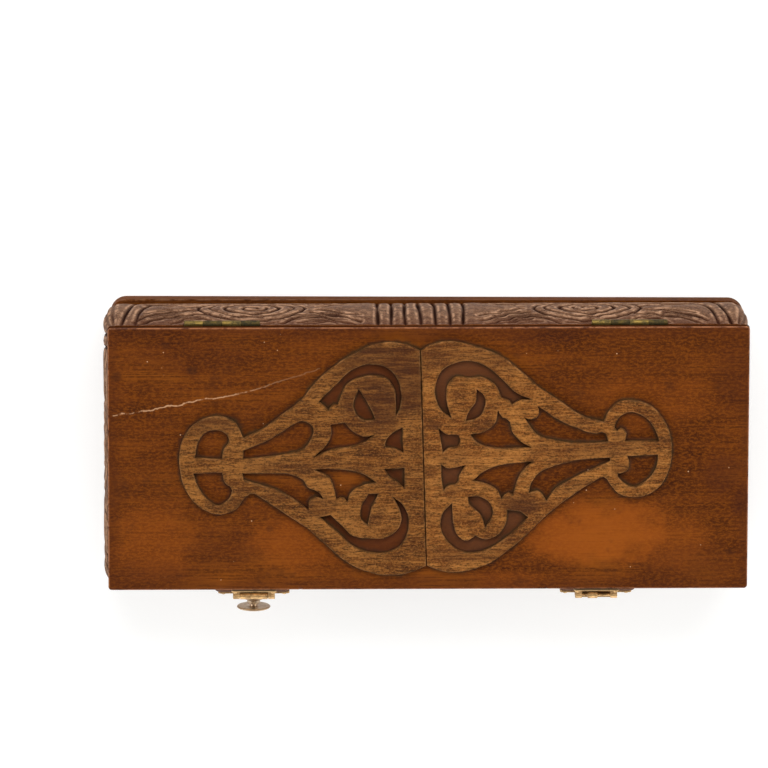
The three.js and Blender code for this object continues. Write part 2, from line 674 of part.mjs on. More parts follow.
/** What is left of the other rivet: a low burred head. */
function rivetStub(centre) {
  const head = RIVET.radius * 1.6;
  const profile = [
    [0, -HASP.thickness - 0.3],
    [RIVET.radius, -HASP.thickness - 0.3],
    [RIVET.radius, 0.1],
    [head, 0.1],
    [head * 0.8, 0.8],
    [0, 1],
  ];
  return turned(profile, FORWARD, centre, LID_FRONT - HASP_FACE, RIVET.z, 12);
}

/** The keeper plate on the pad: a plate with round ends and a scalloped lower edge. */
function keeper(centre) {
  const half = KEEPER.width / 2;
  const bottom = KEEPER.top - KEEPER.height;
  const lobe = half / 3;
  const shape = new THREE.Shape();
  shape.moveTo(centre + half, KEEPER.top);
  shape.lineTo(centre - half, KEEPER.top);
  shape.lineTo(centre - half, bottom + lobe);
  for (let i = -1; i <= 1; i += 1) {
    shape.absarc(centre + 2 * lobe * i, bottom + lobe, lobe, Math.PI, 2 * Math.PI, false);
  }
  shape.closePath();
  const boss = turned([[0, 0], [1.4, 0], [1, 0.2], [0, 0.25]], FORWARD, centre, keeperFace(), bottom + 4, 16);
  const body = upright(shape, LID_FRONT - PAD.out, KEEPER.thickness).add(boss);
  return cut(body, ...nailHoles(keeperNails(centre)));
}

function keeperFace() {
  return LID_FRONT - PAD.out - KEEPER.thickness + 0.05;
}

function makeCatches() {
  for (const [name, centre] of Object.entries(CATCH.centres)) {
    piece(`catch_${name}_leaf`, catchLeaf(centre), BRASS);
    piece(`catch_${name}_pin`, catchPin(centre), BRASS);
    piece(`catch_${name}_hasp`, hasp(centre), BRASS);
    piece(`catch_${name}_keeper`, keeper(centre), BRASS);
    leafNails(centre).forEach((place, i) => {
      piece(`catch_${name}_leaf_nail_${i + 1}`, nail(place), BRASS);
    });
    keeperNails(centre).forEach((place, i) => {
      piece(`catch_${name}_keeper_nail_${i + 1}`, nail(place), BRASS);
    });
  }
  piece('catch_left_knob', pullKnob(CATCH.centres.left), STEEL);
  piece('catch_right_rivet', rivetStub(CATCH.centres.right), STEEL);
}

makeBase();
makeWalls();
makeLining();
makeLid();
makeFretwork();
makeHinges();
makeCatches();

export default box3d;
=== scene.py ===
"""The looks of a long, low jewelry box: stained lid under sawn fretwork, carved walls, worn brass.

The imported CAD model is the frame. Lengths here are in millimetres, in the frame's own axes, and a
mesh's coordinates are turned into metres where it is made. +X is the length, +Y the rear, +Z up.
"""

import math
import random

import bpy
import numpy as np
from mathutils import Matrix, Vector, geometry
from mathutils.kdtree import KDTree


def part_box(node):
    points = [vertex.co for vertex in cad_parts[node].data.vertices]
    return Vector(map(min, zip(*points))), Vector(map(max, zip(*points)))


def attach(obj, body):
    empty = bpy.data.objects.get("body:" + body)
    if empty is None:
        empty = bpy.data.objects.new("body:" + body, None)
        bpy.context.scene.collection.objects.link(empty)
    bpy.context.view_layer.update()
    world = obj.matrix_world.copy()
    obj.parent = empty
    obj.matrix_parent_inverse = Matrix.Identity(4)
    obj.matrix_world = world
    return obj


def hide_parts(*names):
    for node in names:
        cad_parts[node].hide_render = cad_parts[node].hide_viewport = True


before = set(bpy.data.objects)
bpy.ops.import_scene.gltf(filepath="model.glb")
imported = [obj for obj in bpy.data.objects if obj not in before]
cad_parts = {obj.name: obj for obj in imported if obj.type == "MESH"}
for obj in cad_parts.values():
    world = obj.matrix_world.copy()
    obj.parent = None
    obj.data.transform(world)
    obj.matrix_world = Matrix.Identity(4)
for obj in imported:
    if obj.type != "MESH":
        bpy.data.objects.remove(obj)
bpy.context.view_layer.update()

MM = 0.001


def span(node):
    """The lowest and highest corner of a CAD node, in millimetres."""
    low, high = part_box(node)
    return np.array(low) / MM, np.array(high) / MM


def middle(node, axis):
    """A CAD node's middle along an axis, which is 0 for X, 1 for Y and 2 for Z."""
    low, high = span(node)
    return (low[axis] + high[axis]) / 2


def size(node, axis):
    """A CAD node's size along an axis."""
    low, high = span(node)
    return high[axis] - low[axis]


LID_LOW, LID_HIGH = span("lid_panel")
REAR_LOW, REAR_HIGH = span("rear_wall")
LEFT_X = span("left_wall")[0][0]
RIGHT_X = span("right_wall")[1][0]
FRET_TOP = span("fretwork_left")[1][2]
LID_TOP = LID_HIGH[2]
WALL_BOTTOM = REAR_LOW[2]
WALL_TOP = REAR_HIGH[2]
WALL_HEIGHT = WALL_TOP - WALL_BOTTOM
BODY_X = (LEFT_X + RIGHT_X) / 2
LID_MIDDLE_Y = middle("lid_panel", 1)
LID_HALF_DEPTH = size("lid_panel", 1) / 2
SIDES = ("left", "right")


# ---- camera, light and floor ----

CAMERA_TARGET = (-15.34, 26.1, 40.0)
CAMERA_DISTANCE = 3500.0
CAMERA_TILT = math.radians(13.93)
CAMERA_LEAN = math.radians(1.28)
CAMERA_ROLL = math.radians(0.147)
CAMERA_FOCAL = 478.9


def make_camera():
    """Looks almost straight down on the lid, tilted a little towards the rear wall."""
    back = Vector((
        -math.sin(CAMERA_LEAN),
        math.sin(CAMERA_TILT) * math.cos(CAMERA_LEAN),
        math.cos(CAMERA_TILT) * math.cos(CAMERA_LEAN),
    ))
    right = Vector((0, 1, 0)).cross(back).normalized()
    up = back.cross(right)
    turned_right = right * math.cos(CAMERA_ROLL) + up * math.sin(CAMERA_ROLL)
    turned_up = up * math.cos(CAMERA_ROLL) - right * math.sin(CAMERA_ROLL)
    data = bpy.data.cameras.new("camera")
    data.sensor_width = 36.0
    data.lens = CAMERA_FOCAL
    data.clip_start = 0.05
    data.clip_end = 60.0
    camera = bpy.data.objects.new("camera", data)
    turn = Matrix((turned_right, turned_up, back)).transposed().to_4x4()
    place = (Vector(CAMERA_TARGET) + back * CAMERA_DISTANCE) * MM
    camera.matrix_world = Matrix.Translation(place) @ turn
    bpy.context.scene.collection.objects.link(camera)
    bpy.context.scene.camera = camera


def make_light(name, place, width, height, power):
    """A soft rectangular light, in metres, that looks at the box."""
    data = bpy.data.lights.new(name, "AREA")
    data.shape = "RECTANGLE"
    data.size = width
    data.size_y = height
    data.energy = power
    light = bpy.data.objects.new(name, data)
    light.location = place
    light.rotation_euler = Vector(place).to_track_quat("Z", "Y").to_euler()
    bpy.context.scene.collection.objects.link(light)


def make_world():
    """A studio with pale walls and a dark ceiling, so that the lid's varnish reflects little."""
    world = bpy.data.worlds.new("studio")
    bpy.context.scene.world = world
    world.use_nodes = True
    nodes = world.node_tree.nodes
    links = world.node_tree.links
    coords = nodes.new("ShaderNodeTexCoord")
    split = nodes.new("ShaderNodeSeparateXYZ")
    ramp = nodes.new("ShaderNodeValToRGB")
    links.new(coords.outputs["Generated"], split.inputs[0])
    links.new(split.outputs["Z"], ramp.inputs["Fac"])
    links.new(ramp.outputs["Color"], nodes["Background"].inputs["Color"])
    ramp.color_ramp.elements[0].position = 0.3
    ramp.color_ramp.elements[0].color = (1.0, 1.0, 1.0, 1.0)
    ramp.color_ramp.elements[1].position = 0.75
    ramp.color_ramp.elements[1].color = (0.04, 0.04, 0.04, 1.0)
    nodes["Background"].inputs["Strength"].default_value = 1.0


# Each light's name, its place, width and height in metres, and its power.
LIGHTS = [
    ("rear_light", (0.2, 2.0, 2.0), 2.4, 1.4, 66),
    ("front_light", (-0.3, -2.4, 1.3), 2.4, 1.0, 38),
    ("left_light", (-2.4, 0.2, 1.5), 1.6, 1.2, 32),
    ("right_light", (2.4, 0.2, 1.5), 1.6, 1.2, 28),
]


def make_studio():
    for light in LIGHTS:
        make_light(*light)
    make_world()
    scene = bpy.context.scene
    scene.view_settings.view_transform = "Standard"
    scene.view_settings.look = "None"


FLOOR_REACH = 6000.0


def make_floor():
    corners = np.array([(-1, -1, 0), (1, -1, 0), (1, 1, 0), (-1, 1, 0)]) * FLOOR_REACH
    floor = new_object("floor", corners, [(0, 1, 2, 3)], floor_finish())


# ---- meshes ----

ALONG_X = (1, 0, 0)
FORWARD = (0, -1, 0)
# How many waves make up a wandering line.
WAVES = 6


def new_object(name, points, faces, *materials):
    """A mesh object from points in millimetres, whose faces carry the first material."""
    mesh = bpy.data.meshes.new(name)
    mesh.from_pydata((np.asarray(points, float) * MM).tolist(), [], faces)
    mesh.validate()
    mesh.update()
    for material in materials:
        mesh.materials.append(material)
    made = bpy.data.objects.new(name, mesh)
    bpy.context.scene.collection.objects.link(made)
    return made


def smooth(piece, degrees=35):
    """Smooth shading, with edges sharper than the angle kept crisp."""
    mesh = piece.data
    mesh.shade_smooth()
    mesh.set_sharp_from_angle(angle=math.radians(degrees))


def stands_for(piece, body, slot, *nodes):
    """Puts a piece on its body in place of CAD nodes. The slot is not used."""
    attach(piece, body)
    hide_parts(*nodes)


def apply_modifiers(piece):
    """Turns the modifiers' result into the piece's own mesh."""
    bpy.context.view_layer.update()
    depsgraph = bpy.context.evaluated_depsgraph_get()
    result = bpy.data.meshes.new_from_object(piece.evaluated_get(depsgraph))
    piece.modifiers.clear()
    piece.data = result


def combine(piece, tools, operation):
    """Cuts the tools from a piece or joins them to it, and removes the tools."""
    for tool in tools:
        step = piece.modifiers.new("combine", "BOOLEAN")
        step.operation = operation
        step.solver = "MANIFOLD"
        step.object = tool
    apply_modifiers(piece)
    for tool in tools:
        bpy.data.objects.remove(tool)


def add_bevel(piece, width, segments, degrees):
    """A modifier that rounds the edges sharper than the angle."""
    step = piece.modifiers.new("bevel", "BEVEL")
    step.width = width * MM
    step.segments = segments
    step.limit_method = "ANGLE"
    step.angle_limit = math.radians(degrees)


def bevel(piece, width, segments=2, degrees=50):
    """Rounds a piece's edges in its own mesh."""
    add_bevel(piece, width, segments, degrees)
    apply_modifiers(piece)


def sweep_faces(count, rows, closed=True):
    """Quads between rows of count points that lie one after another. A closed row's ends meet."""
    faces = []
    last = count if closed else count - 1
    for row in range(rows - 1):
        for i in range(last):
            a = row * count + i
            b = row * count + (i + 1) % count
            faces.append((a, b, b + count, a + count))
    return faces


def extrude(name, outline, direction, place, *materials):
    """A closed plate whose outline lies in a plane through place.

    direction is "y" or "z", with the distance that the plate reaches along it.
    """
    axis, reach = direction
    around = {"y": (0, 2, 1), "z": (0, 1, 2)}[axis]
    count = len(outline)
    points = np.zeros((2 * count, 3))
    for row, along in enumerate((0.0, reach)):
        part = points[row * count:(row + 1) * count]
        part[:, around[0]] = [p[0] for p in outline]
        part[:, around[1]] = [p[1] for p in outline]
        part[:, around[2]] = along
    points += np.array(place)
    faces = sweep_faces(count, 2)
    faces.append(tuple(reversed(range(count))))
    faces.append(tuple(range(count, 2 * count)))
    return face_outward(new_object(name, points, faces, *materials))


def face_outward(piece):
    """Turns a closed piece's faces so that they look outward."""
    bpy.context.view_layer.objects.active = piece
    for other in bpy.context.selected_objects:
        other.select_set(False)
    piece.select_set(True)
    bpy.ops.object.mode_set(mode="EDIT")
    bpy.ops.mesh.select_all(action="SELECT")
    bpy.ops.mesh.normals_make_consistent(inside=False)
    bpy.ops.object.mode_set(mode="OBJECT")
    return piece


def turned(name, profile, place, direction, *materials, sides=48):
    """A turned piece. Its profile is (radius, distance along the axis), from axis to axis."""
    inner = [p for p in profile if p[0] > 0]
    rings = []
    for radius, along in inner:
        for i in range(sides):
            angle = 2 * math.pi * i / sides
            rings.append((radius * math.cos(angle), radius * math.sin(angle), along))
    faces = sweep_faces(sides, len(inner))
    first = len(rings)
    rings.append((0, 0, profile[0][1]))
    rings.append((0, 0, profile[-1][1]))
    last_ring = (len(inner) - 1) * sides
    for i in range(sides):
        j = (i + 1) % sides
        faces.append((first, j, i))
        faces.append((first + 1, last_ring + i, last_ring + j))
    turn = Vector((0, 0, 1)).rotation_difference(Vector(direction)).to_matrix()
    points = np.array(rings) @ np.array(turn.transposed()) + np.array(place)
    return face_outward(new_object(name, points, faces, *materials))


def bar(name, radius, x0, x1, y, z, sides=40):
    """A round bar along X, to cut with or to join to a piece."""
    profile = [(0, 0), (radius, 0), (radius, x1 - x0), (0, x1 - x0)]
    return turned(name, profile, (x0, y, z), ALONG_X, sides=sides)


def block(name, low, high):
    """A square-edged block, to cut with or to join to a piece."""
    outline = [(low[0], low[1]), (high[0], low[1]), (high[0], high[1]), (low[0], high[1])]
    return extrude(name, outline, ("z", high[2] - low[2]), (0, 0, low[2]))


def arc(x, y, radius, start, end, steps=16):
    """Points on an arc, with its angles in degrees."""
    points = []
    for i in range(steps + 1):
        angle = math.radians(start + (end - start) * i / steps)
        points.append((x + radius * math.cos(angle), y + radius * math.sin(angle)))
    return points


def wander(values, period, seed):
    """A smooth wandering number, mostly between -1 and 1, along values. It is the same on each run."""
    draw = random.Random(seed)
    total = np.zeros_like(values, dtype=float)
    for _ in range(WAVES):
        frequency = 2 * math.pi / (period * draw.uniform(0.45, 1.8))
        total += np.sin(values * frequency + draw.uniform(0, 2 * math.pi))
    return total / math.sqrt(WAVES * 2)


def smooth_line(points, step, closed=False):
    """Points about a step apart on the smooth curve through a list of points."""
    knots = np.array(points, float)
    if closed:
        knots = np.vstack([knots[-1], knots, knots[0], knots[1]])
    else:
        knots = np.vstack([2 * knots[0] - knots[1], knots, 2 * knots[-1] - knots[-2]])
    result = []
    for i in range(1, len(knots) - 2):
        p0, p1, p2, p3 = knots[i - 1:i + 3]
        count = max(1, round(np.linalg.norm(p2 - p1) / step))
        for t in np.arange(count) / count:
            result.append(0.5 * (
                2 * p1
                + (p2 - p0) * t
                + (2 * p0 - 5 * p1 + 4 * p2 - p3) * t ** 2
                + (3 * p1 - p0 - 3 * p2 + p3) * t ** 3
            ))
    if not closed:
        result.append(knots[-2])
    return np.array(result)


def set_attribute(piece, name, values):
    """Stores one number per vertex for a material to read."""
    attribute = piece.data.attributes.new(name, "FLOAT", "POINT")
    attribute.data.foreach_set("value", np.asarray(values, np.float32))


def vertex_points(piece):
    """A mesh's vertices in millimetres."""
    points = np.zeros(len(piece.data.vertices) * 3)
    piece.data.vertices.foreach_get("co", points)
    return points.reshape(-1, 3) / MM


# ---- finishes ----


def paint(red, green, blue):
    """A display colour, 0 to 255, as the linear colour that shaders take."""
    linear = [((v / 255 + 0.055) / 1.055) ** 2.4 if v > 10 else v / 3294.6 for v in (red, green, blue)]
    return (*linear, 1.0)


class Finish:
    """A material, with short calls that add nodes to it. Its place is in millimetres."""

    def __init__(self, name):
        self.material = bpy.data.materials.new(name)
        self.material.use_nodes = True
        self.tree = self.material.node_tree
        self.surface = self.tree.nodes["Principled BSDF"]
        coords = self.tree.nodes.new("ShaderNodeTexCoord").outputs["Object"]
        self.place = self.stretched(coords, (1 / MM, 1 / MM, 1 / MM))

    def add(self, kind, inputs, **settings):
        node = self.tree.nodes.new("ShaderNode" + kind)
        for key, value in settings.items():
            setattr(node, key, value)
        for key, value in inputs.items():
            self.feed(node.inputs[key], value)
        return node

    def feed(self, socket, value):
        if isinstance(value, bpy.types.NodeSocket):
            self.tree.links.new(value, socket)
        else:
            socket.default_value = value

    def stretched(self, vector, scale, offset=(0, 0, 0)):
        node = self.add("Mapping", {"Vector": vector, "Scale": scale, "Location": offset})
        return node.outputs[0]

    def noise(self, scale, detail=3.0, rough=0.5, stretch=(1, 1, 1), offset=(0, 0, 0), distortion=0.0):
        place = self.stretched(self.place, stretch, offset)
        node = self.add("TexNoise", {
            "Vector": place, "Scale": scale, "Detail": detail, "Roughness": rough, "Distortion": distortion,
        })
        return node.outputs["Fac"]

    def jitter(self, amount, *noise, **more_noise):
        """Noise about zero, scaled by the amount."""
        return self.times(self.minus(self.noise(*noise, **more_noise), 0.5), amount)

    def cells(self, scale, output="Distance"):
        node = self.add("TexVoronoi", {"Vector": self.place, "Scale": scale})
        return node.outputs[output]

    def math(self, operation, a, b=0.0):
        return self.add("Math", {0: a, 1: b}, operation=operation).outputs[0]

    def plus(self, a, b):
        return self.math("ADD", a, b)

    def minus(self, a, b):
        return self.math("SUBTRACT", a, b)

    def times(self, a, b):
        return self.math("MULTIPLY", a, b)

    def divided(self, a, b):
        return self.math("DIVIDE", a, b)

    def weighted(self, *shares):
        """The sum of values, each given with its weight."""
        value, weight = shares[0]
        total = self.times(value, weight)
        for value, weight in shares[1:]:
            total = self.plus(total, self.times(value, weight))
        return total

    def larger(self, a, b):
        return self.math("MAXIMUM", a, b)

    def smaller(self, a, b):
        return self.math("MINIMUM", a, b)

    def spread(self, value, low, high, out_low=0.0, out_high=1.0):
        """The value's stretch from low to high, smoothly eased to another stretch."""
        node = self.add("MapRange", {
            "Value": value, "From Min": low, "From Max": high, "To Min": out_low, "To Max": out_high,
        }, interpolation_type="SMOOTHSTEP")
        return node.outputs[0]

    def fade(self, value, low, high):
        """1 below low, eased to 0 above high."""
        return self.spread(value, low, high, 1.0, 0.0)

    def mix(self, factor, a, b):
        node = self.add("Mix", {}, data_type="RGBA")
        self.feed(node.inputs[0], factor)
        self.feed(node.inputs[6], a)
        self.feed(node.inputs[7], b)
        return node.outputs[2]

    def cover(self, colour, mask, share, top):
        """The colour, with the top colour over it by the mask times the share, which may be a mask too."""
        return self.mix(self.times(mask, share), colour, top)

    def ramp(self, value, stops):
        node = self.add("ValToRGB", {"Fac": value})
        points = node.color_ramp.elements
        while len(points) < len(stops):
            points.new(0.5)
        for point, (position, colour) in zip(points, stops):
            point.position = position
            point.color = colour
        return node.outputs["Color"]

    def read(self, name):
        return self.add("Attribute", {}, attribute_name=name).outputs["Fac"]

    def axes(self):
        return self.add("SeparateXYZ", {0: self.place}).outputs

    def bump(self, height, strength, distance, normal=None):
        inputs = {"Height": height, "Strength": strength, "Distance": distance * MM}
        if normal is not None:
            inputs["Normal"] = normal
        return self.add("Bump", inputs).outputs[0]

    def finish(self, specular=0.5, **sockets):
        self.surface.inputs["Specular IOR Level"].default_value = specular
        for key, value in sockets.items():
            self.feed(self.surface.inputs[key.replace("_", " ").title().replace("Ior", "IOR")], value)
        return self.material


def floor_finish():
    f = Finish("floor_white")
    tone = f.noise(0.004, 2.0)
    colour = f.mix(tone, (0.42, 0.42, 0.415, 1), (0.41, 0.41, 0.405, 1))
    # The floor is lit from below a little, as a light table is.
    f.surface.inputs["Emission Color"].default_value = (1.0, 0.995, 0.985, 1.0)
    f.surface.inputs["Emission Strength"].default_value = 0.62
    return f.finish(0.2, base_color=colour, roughness=0.6)


# ---- wood ----


def fine_grain(f, pitch, length, seed):
    """Grain along X: 0 to 1, with threads about a pitch apart and a length long."""
    return f.noise(1.0, 4.0, 0.6, (1 / length, 1 / pitch, 1 / pitch), (seed, seed * 3.1, 0))


def panel_wood(name, seed, dark, middle, bright):
    """Stained wood with fine straight grain along X and cloudy stain."""
    f = Finish(name)
    threads = fine_grain(f, 0.7, 26, seed)
    bands = fine_grain(f, 3.2, 110, seed + 5)
    cloud = f.noise(0.035, 3.0, 0.6, (0.8, 1.1, 1), (seed, 0, seed))
    tone = f.weighted((cloud, 0.5), (bands, 0.22), (threads, 0.28))
    colour = f.ramp(tone, [(0.38, dark), (0.5, middle), (0.6, bright)])
    line = f.spread(threads, 0.48, 0.6)
    colour = f.cover(colour, line, 0.74, dark)
    fleck = f.spread(f.noise(1.3, 3.0, 0.75, (0.5, 1, 1), (seed, 9, 0)), 0.44, 0.6)
    colour = f.cover(colour, fleck, 0.6, bright)
    return f, colour, threads


def spot(f, x, y, half_width, half_depth):
    """A soft-edged, uneven patch about a point: 1 in its middle, 0 outside."""
    place_x, place_y, _ = f.axes()
    across = f.divided(f.minus(place_x, x), half_width)
    down = f.divided(f.minus(place_y, y), half_depth)
    squares = f.plus(f.times(across, across), f.times(down, down))
    uneven = f.jitter(1.6, 0.11, 4.0, 0.65, (1, 1.4, 1), (x, y, 0))
    return f.fade(f.plus(squares, uneven), 0.1, 1.1)


def spots(f, places):
    """Several patches as one mask. Each place is (x, y, half width, half depth, strength)."""
    total = 0.0
    for x, y, half_width, half_depth, strength in places:
        total = f.larger(total, f.times(spot(f, x, y, half_width, half_depth), strength))
    return total


def edge_distance(f, low, high):
    """Distance in millimetres from the edge of a board that spans low to high, inward."""
    x, y, _ = f.axes()
    nearest = f.smaller(f.minus(x, low[0]), f.minus(high[0], x))
    nearest = f.smaller(nearest, f.minus(y, low[1]))
    return f.smaller(nearest, f.minus(high[1], y))


def worn_arris(f, low, high, width):
    """A rubbed band along a board's upper arris: 1 where it is worn, 0 elsewhere."""
    _, _, z = f.axes()
    near = f.fade(edge_distance(f, low, high), 0.15, width)
    upper = f.spread(z, high[2] - 0.5, high[2] - 0.2)
    uneven = f.spread(f.noise(0.25, 4.0, 0.7), 0.36, 0.6)
    return f.times(f.times(near, upper), uneven)


# The long scratch's course across the lid, as (x, y).
SCRATCH = [
    (-108.3, 15.2), (-98.0, 16.6), (-88.7, 18.4), (-78.4, 20.6), (-64.7, 22.9), (-52.7, 26.6),
    (-37.2, 31.6),
]


def scratch_mask(f):
    """A long, shallow scratch that rises across the lid's left part."""
    x, y, _ = f.axes()
    start, end = SCRATCH[0][0], SCRATCH[-1][0]
    low, high = SCRATCH[0][1], SCRATCH[-1][1]
    along = f.divided(f.minus(x, start), end - start)
    node = f.add("FloatCurve", {"Value": along})
    curve = node.mapping.curves[0]
    for px, py in SCRATCH[1:-1]:
        curve.points.new((px - start) / (end - start), (py - low) / (high - low))
    node.mapping.update()
    course = f.add("Math", {0: node.outputs[0], 1: high - low, 2: low}, operation="MULTIPLY_ADD").outputs[0]
    jitter = f.jitter(2.2, 0.3, 4.0)
    off = f.math("ABSOLUTE", f.minus(f.plus(y, jitter), course))
    line = f.fade(off, 0.06, 0.38)
    ends = f.times(f.math("GREATER_THAN", along, 0.0), f.math("LESS_THAN", along, 1.0))
    broken = f.spread(f.noise(0.2, 5.0, 0.75, (1, 0.2, 1)), 0.36, 0.52)
    faint = f.spread(along, 0.4, 0.9, 1.0, 0.2)
    return f.times(f.times(line, ends), f.times(broken, faint))


# Where the lid's stain is rubbed bright, where it is dark, and its small dark knots. Here and in the
# fretwork's lists a patch is (x, y, half width, half depth, strength).
BRIGHT_PLACES = [
    (58, -27, 34, 13, 0.9), (-44, -30, 20, 12, 0.5), (-94, -30, 16, 16, 0.4), (78, 20, 24, 12, 0.25),
    (28, -44, 14, 5, 0.4), (84, -30, 16, 12, 0.4),
]
DARK_PLACES = [
    (102, -6, 10, 9, 0.7), (109, -16, 6, 8, 0.9), (105, 30, 9, 16, 0.5), (38, 43, 18, 4, 0.6),
    (0, 44, 12, 3.5, 0.6), (-80, 37, 26, 9, 0.35), (-95, -41, 20, 6, 0.5), (90, -38, 20, 9, 0.35),
    (-2, -44, 12, 3, 0.6), (-70, -32, 16, 8, 0.3),
]
KNOTS = [
    (-81, 31, 2.2, 1.8, 0.8), (-107, 29, 2.4, 2.2, 0.7), (-54.4, -25, 1.6, 1.4, 0.6),
    (-90, 40, 2, 1.6, 0.6), (30, 36, 1.8, 1.2, 0.5), (104, -34, 2.2, 1.6, 0.5),
]


def lid_stain(f, colour, on_top):
    """The stain is rubbed bright in places, and is deeper and redder in others and along the border."""
    bright = f.times(spots(f, BRIGHT_PLACES), on_top)
    colour = f.cover(colour, bright, 0.65, paint(146, 74, 18))
    edge = edge_distance(f, LID_LOW, LID_HIGH)
    border = f.fade(f.plus(edge, f.times(f.noise(0.12, 3.0), 6)), 3.2, 9)
    dark = f.larger(f.times(border, 0.6), f.times(spots(f, DARK_PLACES), on_top))
    colour = f.cover(colour, dark, 0.6, paint(62, 27, 13))
    smudge = f.spread(f.noise(0.09, 4.0, 0.65, offset=(11, 4, 2)), 0.56, 0.72)
    knots = f.times(spots(f, KNOTS), on_top)
    smudge = f.larger(f.times(smudge, 0.4), f.times(knots, 0.7))
    return f.mix(smudge, colour, paint(50, 24, 12))


def lid_film(f, colour):
    """A film in the fretwork's openings, redder on the left."""
    x, _, _ = f.axes()
    film = f.plus(f.read("film"), f.jitter(0.9, 0.3, 4.0, 0.7))
    film_tone = f.plus(f.spread(x, -12, 4), f.minus(f.noise(0.09, 3.0), 0.5))
    film_colour = f.mix(f.spread(film_tone, 0.2, 0.8), paint(84, 43, 21), paint(88, 52, 31))
    return f.mix(f.spread(film, 0.1, 1.1, 0.0, 0.82), colour, film_colour)


def lid_wear_and_shade(f, colour, on_top):
    """The edge faces get painted shade below a pale, rubbed arris. The top has fine pale specks and a
    scratch.
    """
    _, _, z = f.axes()
    # Painted shade: the lid's edge faces are darkened below the arris.
    below = f.fade(z, LID_TOP - 0.9, LID_TOP - 0.4)
    colour = f.cover(colour, below, 0.7, paint(42, 20, 9))
    colour = f.cover(colour, worn_arris(f, LID_LOW, LID_HIGH, 0.6), 0.75, paint(158, 100, 62))
    pick = f.add("SeparateColor", {0: f.cells(0.2, output="Color")}).outputs[0]
    speck = f.times(f.fade(f.cells(0.2), 0.022, 0.055), f.math("GREATER_THAN", pick, 0.62))
    pale = f.larger(f.times(speck, 0.9), f.times(scratch_mask(f), 0.6))
    return f.cover(colour, pale, on_top, paint(205, 160, 120))


def lid_finish():
    f, colour, threads = panel_wood(
        "lid_stained_wood", 3.0, paint(54, 22, 4), paint(90, 43, 9), paint(116, 61, 13),
    )
    _, _, z = f.axes()
    on_top = f.math("GREATER_THAN", z, LID_TOP - 1.2)
    colour = lid_film(f, lid_stain(f, colour, on_top))
    # Dark dirt and painted shade lie against the fretwork's sides.
    dirt = f.plus(f.read("dirt"), f.jitter(0.7, 0.6, 4.0, 0.7))
    dirt_and_shade_mask = f.spread(dirt, 0.15, 0.85)
    dirt_and_shade_colour = f.mix(f.spread(f.noise(0.08, 2.0), 0.4, 0.6), paint(48, 28, 15), paint(54, 42, 22))
    colour = f.cover(colour, dirt_and_shade_mask, 0.8, dirt_and_shade_colour)
    colour = lid_wear_and_shade(f, colour, on_top)
    rough = f.plus(0.36, f.times(dirt_and_shade_mask, 0.35))
    rough = f.plus(rough, f.times(f.noise(0.3, 3.0), 0.12))
    normal = f.bump(threads, 0.3, 0.12)
    normal = f.bump(f.noise(0.7, 4.0, 0.6), 0.15, 0.2, normal)
    shine = f.spread(z, LID_TOP - 0.8, LID_TOP - 0.2, 0.0, 0.12)
    return f.finish(base_color=colour, roughness=rough, normal=normal, specular_ior_level=shine)


def plain_panel_finish(name, seed, dark, middle, bright, box=None):
    """Stained wood for boards that carry no fretwork. A board given its box has a rubbed upper arris."""
    f, colour, threads = panel_wood(name, seed, dark, middle, bright)
    if box is not None:
        colour = f.cover(colour, worn_arris(f, *box, 0.9), 0.5, paint(150, 108, 78))
    rough = f.plus(0.45, f.times(f.noise(0.3, 3.0), 0.2))
    normal = f.bump(threads, 0.3, 0.15)
    return f.finish(0.02, base_color=colour, roughness=rough, normal=normal)


def fretwork_wear_and_shade(f, colour):
    """The arris is rubbed pale in places, and the sawn side below it darkens towards the bottom, with dirt
    and painted shade.
    """
    arris = f.read("arris")
    rubbed = f.spread(f.noise(0.2, 4.0, 0.7, offset=(8, 2, 1)), 0.42, 0.6)
    worn = f.times(f.spread(arris, 0.25, 0.85), rubbed)
    colour = f.cover(colour, worn, 0.5, paint(156, 108, 62))
    grime = f.times(f.spread(arris, 0.12, 0.8), f.spread(f.noise(0.3, 5.0, 0.75), 0.42, 0.6))
    colour = f.cover(colour, grime, 0.65, paint(56, 38, 16))
    # Dirt and painted shade: the sawn sides darken towards the bottom.
    return f.cover(colour, f.read("side"), 0.8, paint(56, 36, 17))


def fretwork_finish(name, seed, dark, middle, bright, pore, patches):
    """Open-pored wood with short dark pores along X and dark stain in patches."""
    f = Finish(name)
    threads = fine_grain(f, 0.5, 5, seed)
    bands = fine_grain(f, 1.7, 17, seed + 9)
    cloud = f.noise(0.06, 4.0, 0.65, offset=(seed, seed, 0))
    tone = f.weighted((cloud, 0.4), (bands, 0.36), (threads, 0.24))
    colour = f.ramp(tone, [(0.39, dark), (0.48, middle), (0.57, bright)])
    glint = f.spread(threads, 0.53, 0.68)
    colour = f.cover(colour, glint, 0.5, bright)
    pores = f.spread(fine_grain(f, 0.5, 2.8, seed + 2), 0.5, 0.6)
    colour = f.cover(colour, pores, 0.66, pore)
    grit = f.noise(1.7, 3.0, 0.8, (0.7, 1, 1), (seed, 3, 0))
    colour = f.cover(colour, f.spread(grit, 0.5, 0.64), 0.6, bright)
    colour = f.cover(colour, f.fade(grit, 0.36, 0.5), 0.6, pore)
    stain = f.spread(f.noise(0.055, 5.0, 0.7, (0.6, 1.4, 1), (seed * 2, 7, 0)), 0.53, 0.63)
    stain = f.larger(f.times(stain, 0.6), spots(f, patches))
    streaked = f.times(stain, f.spread(bands, 0.3, 0.62, 1.0, 0.65))
    colour = f.cover(colour, streaked, 0.85, paint(60, 31, 15))
    colour = fretwork_wear_and_shade(f, colour)
    rough = f.plus(0.5, f.times(pores, 0.25))
    normal = f.bump(f.minus(threads, f.times(pores, 0.6)), 0.5, 0.2)
    return f.finish(0.07, base_color=colour, roughness=rough, normal=normal)


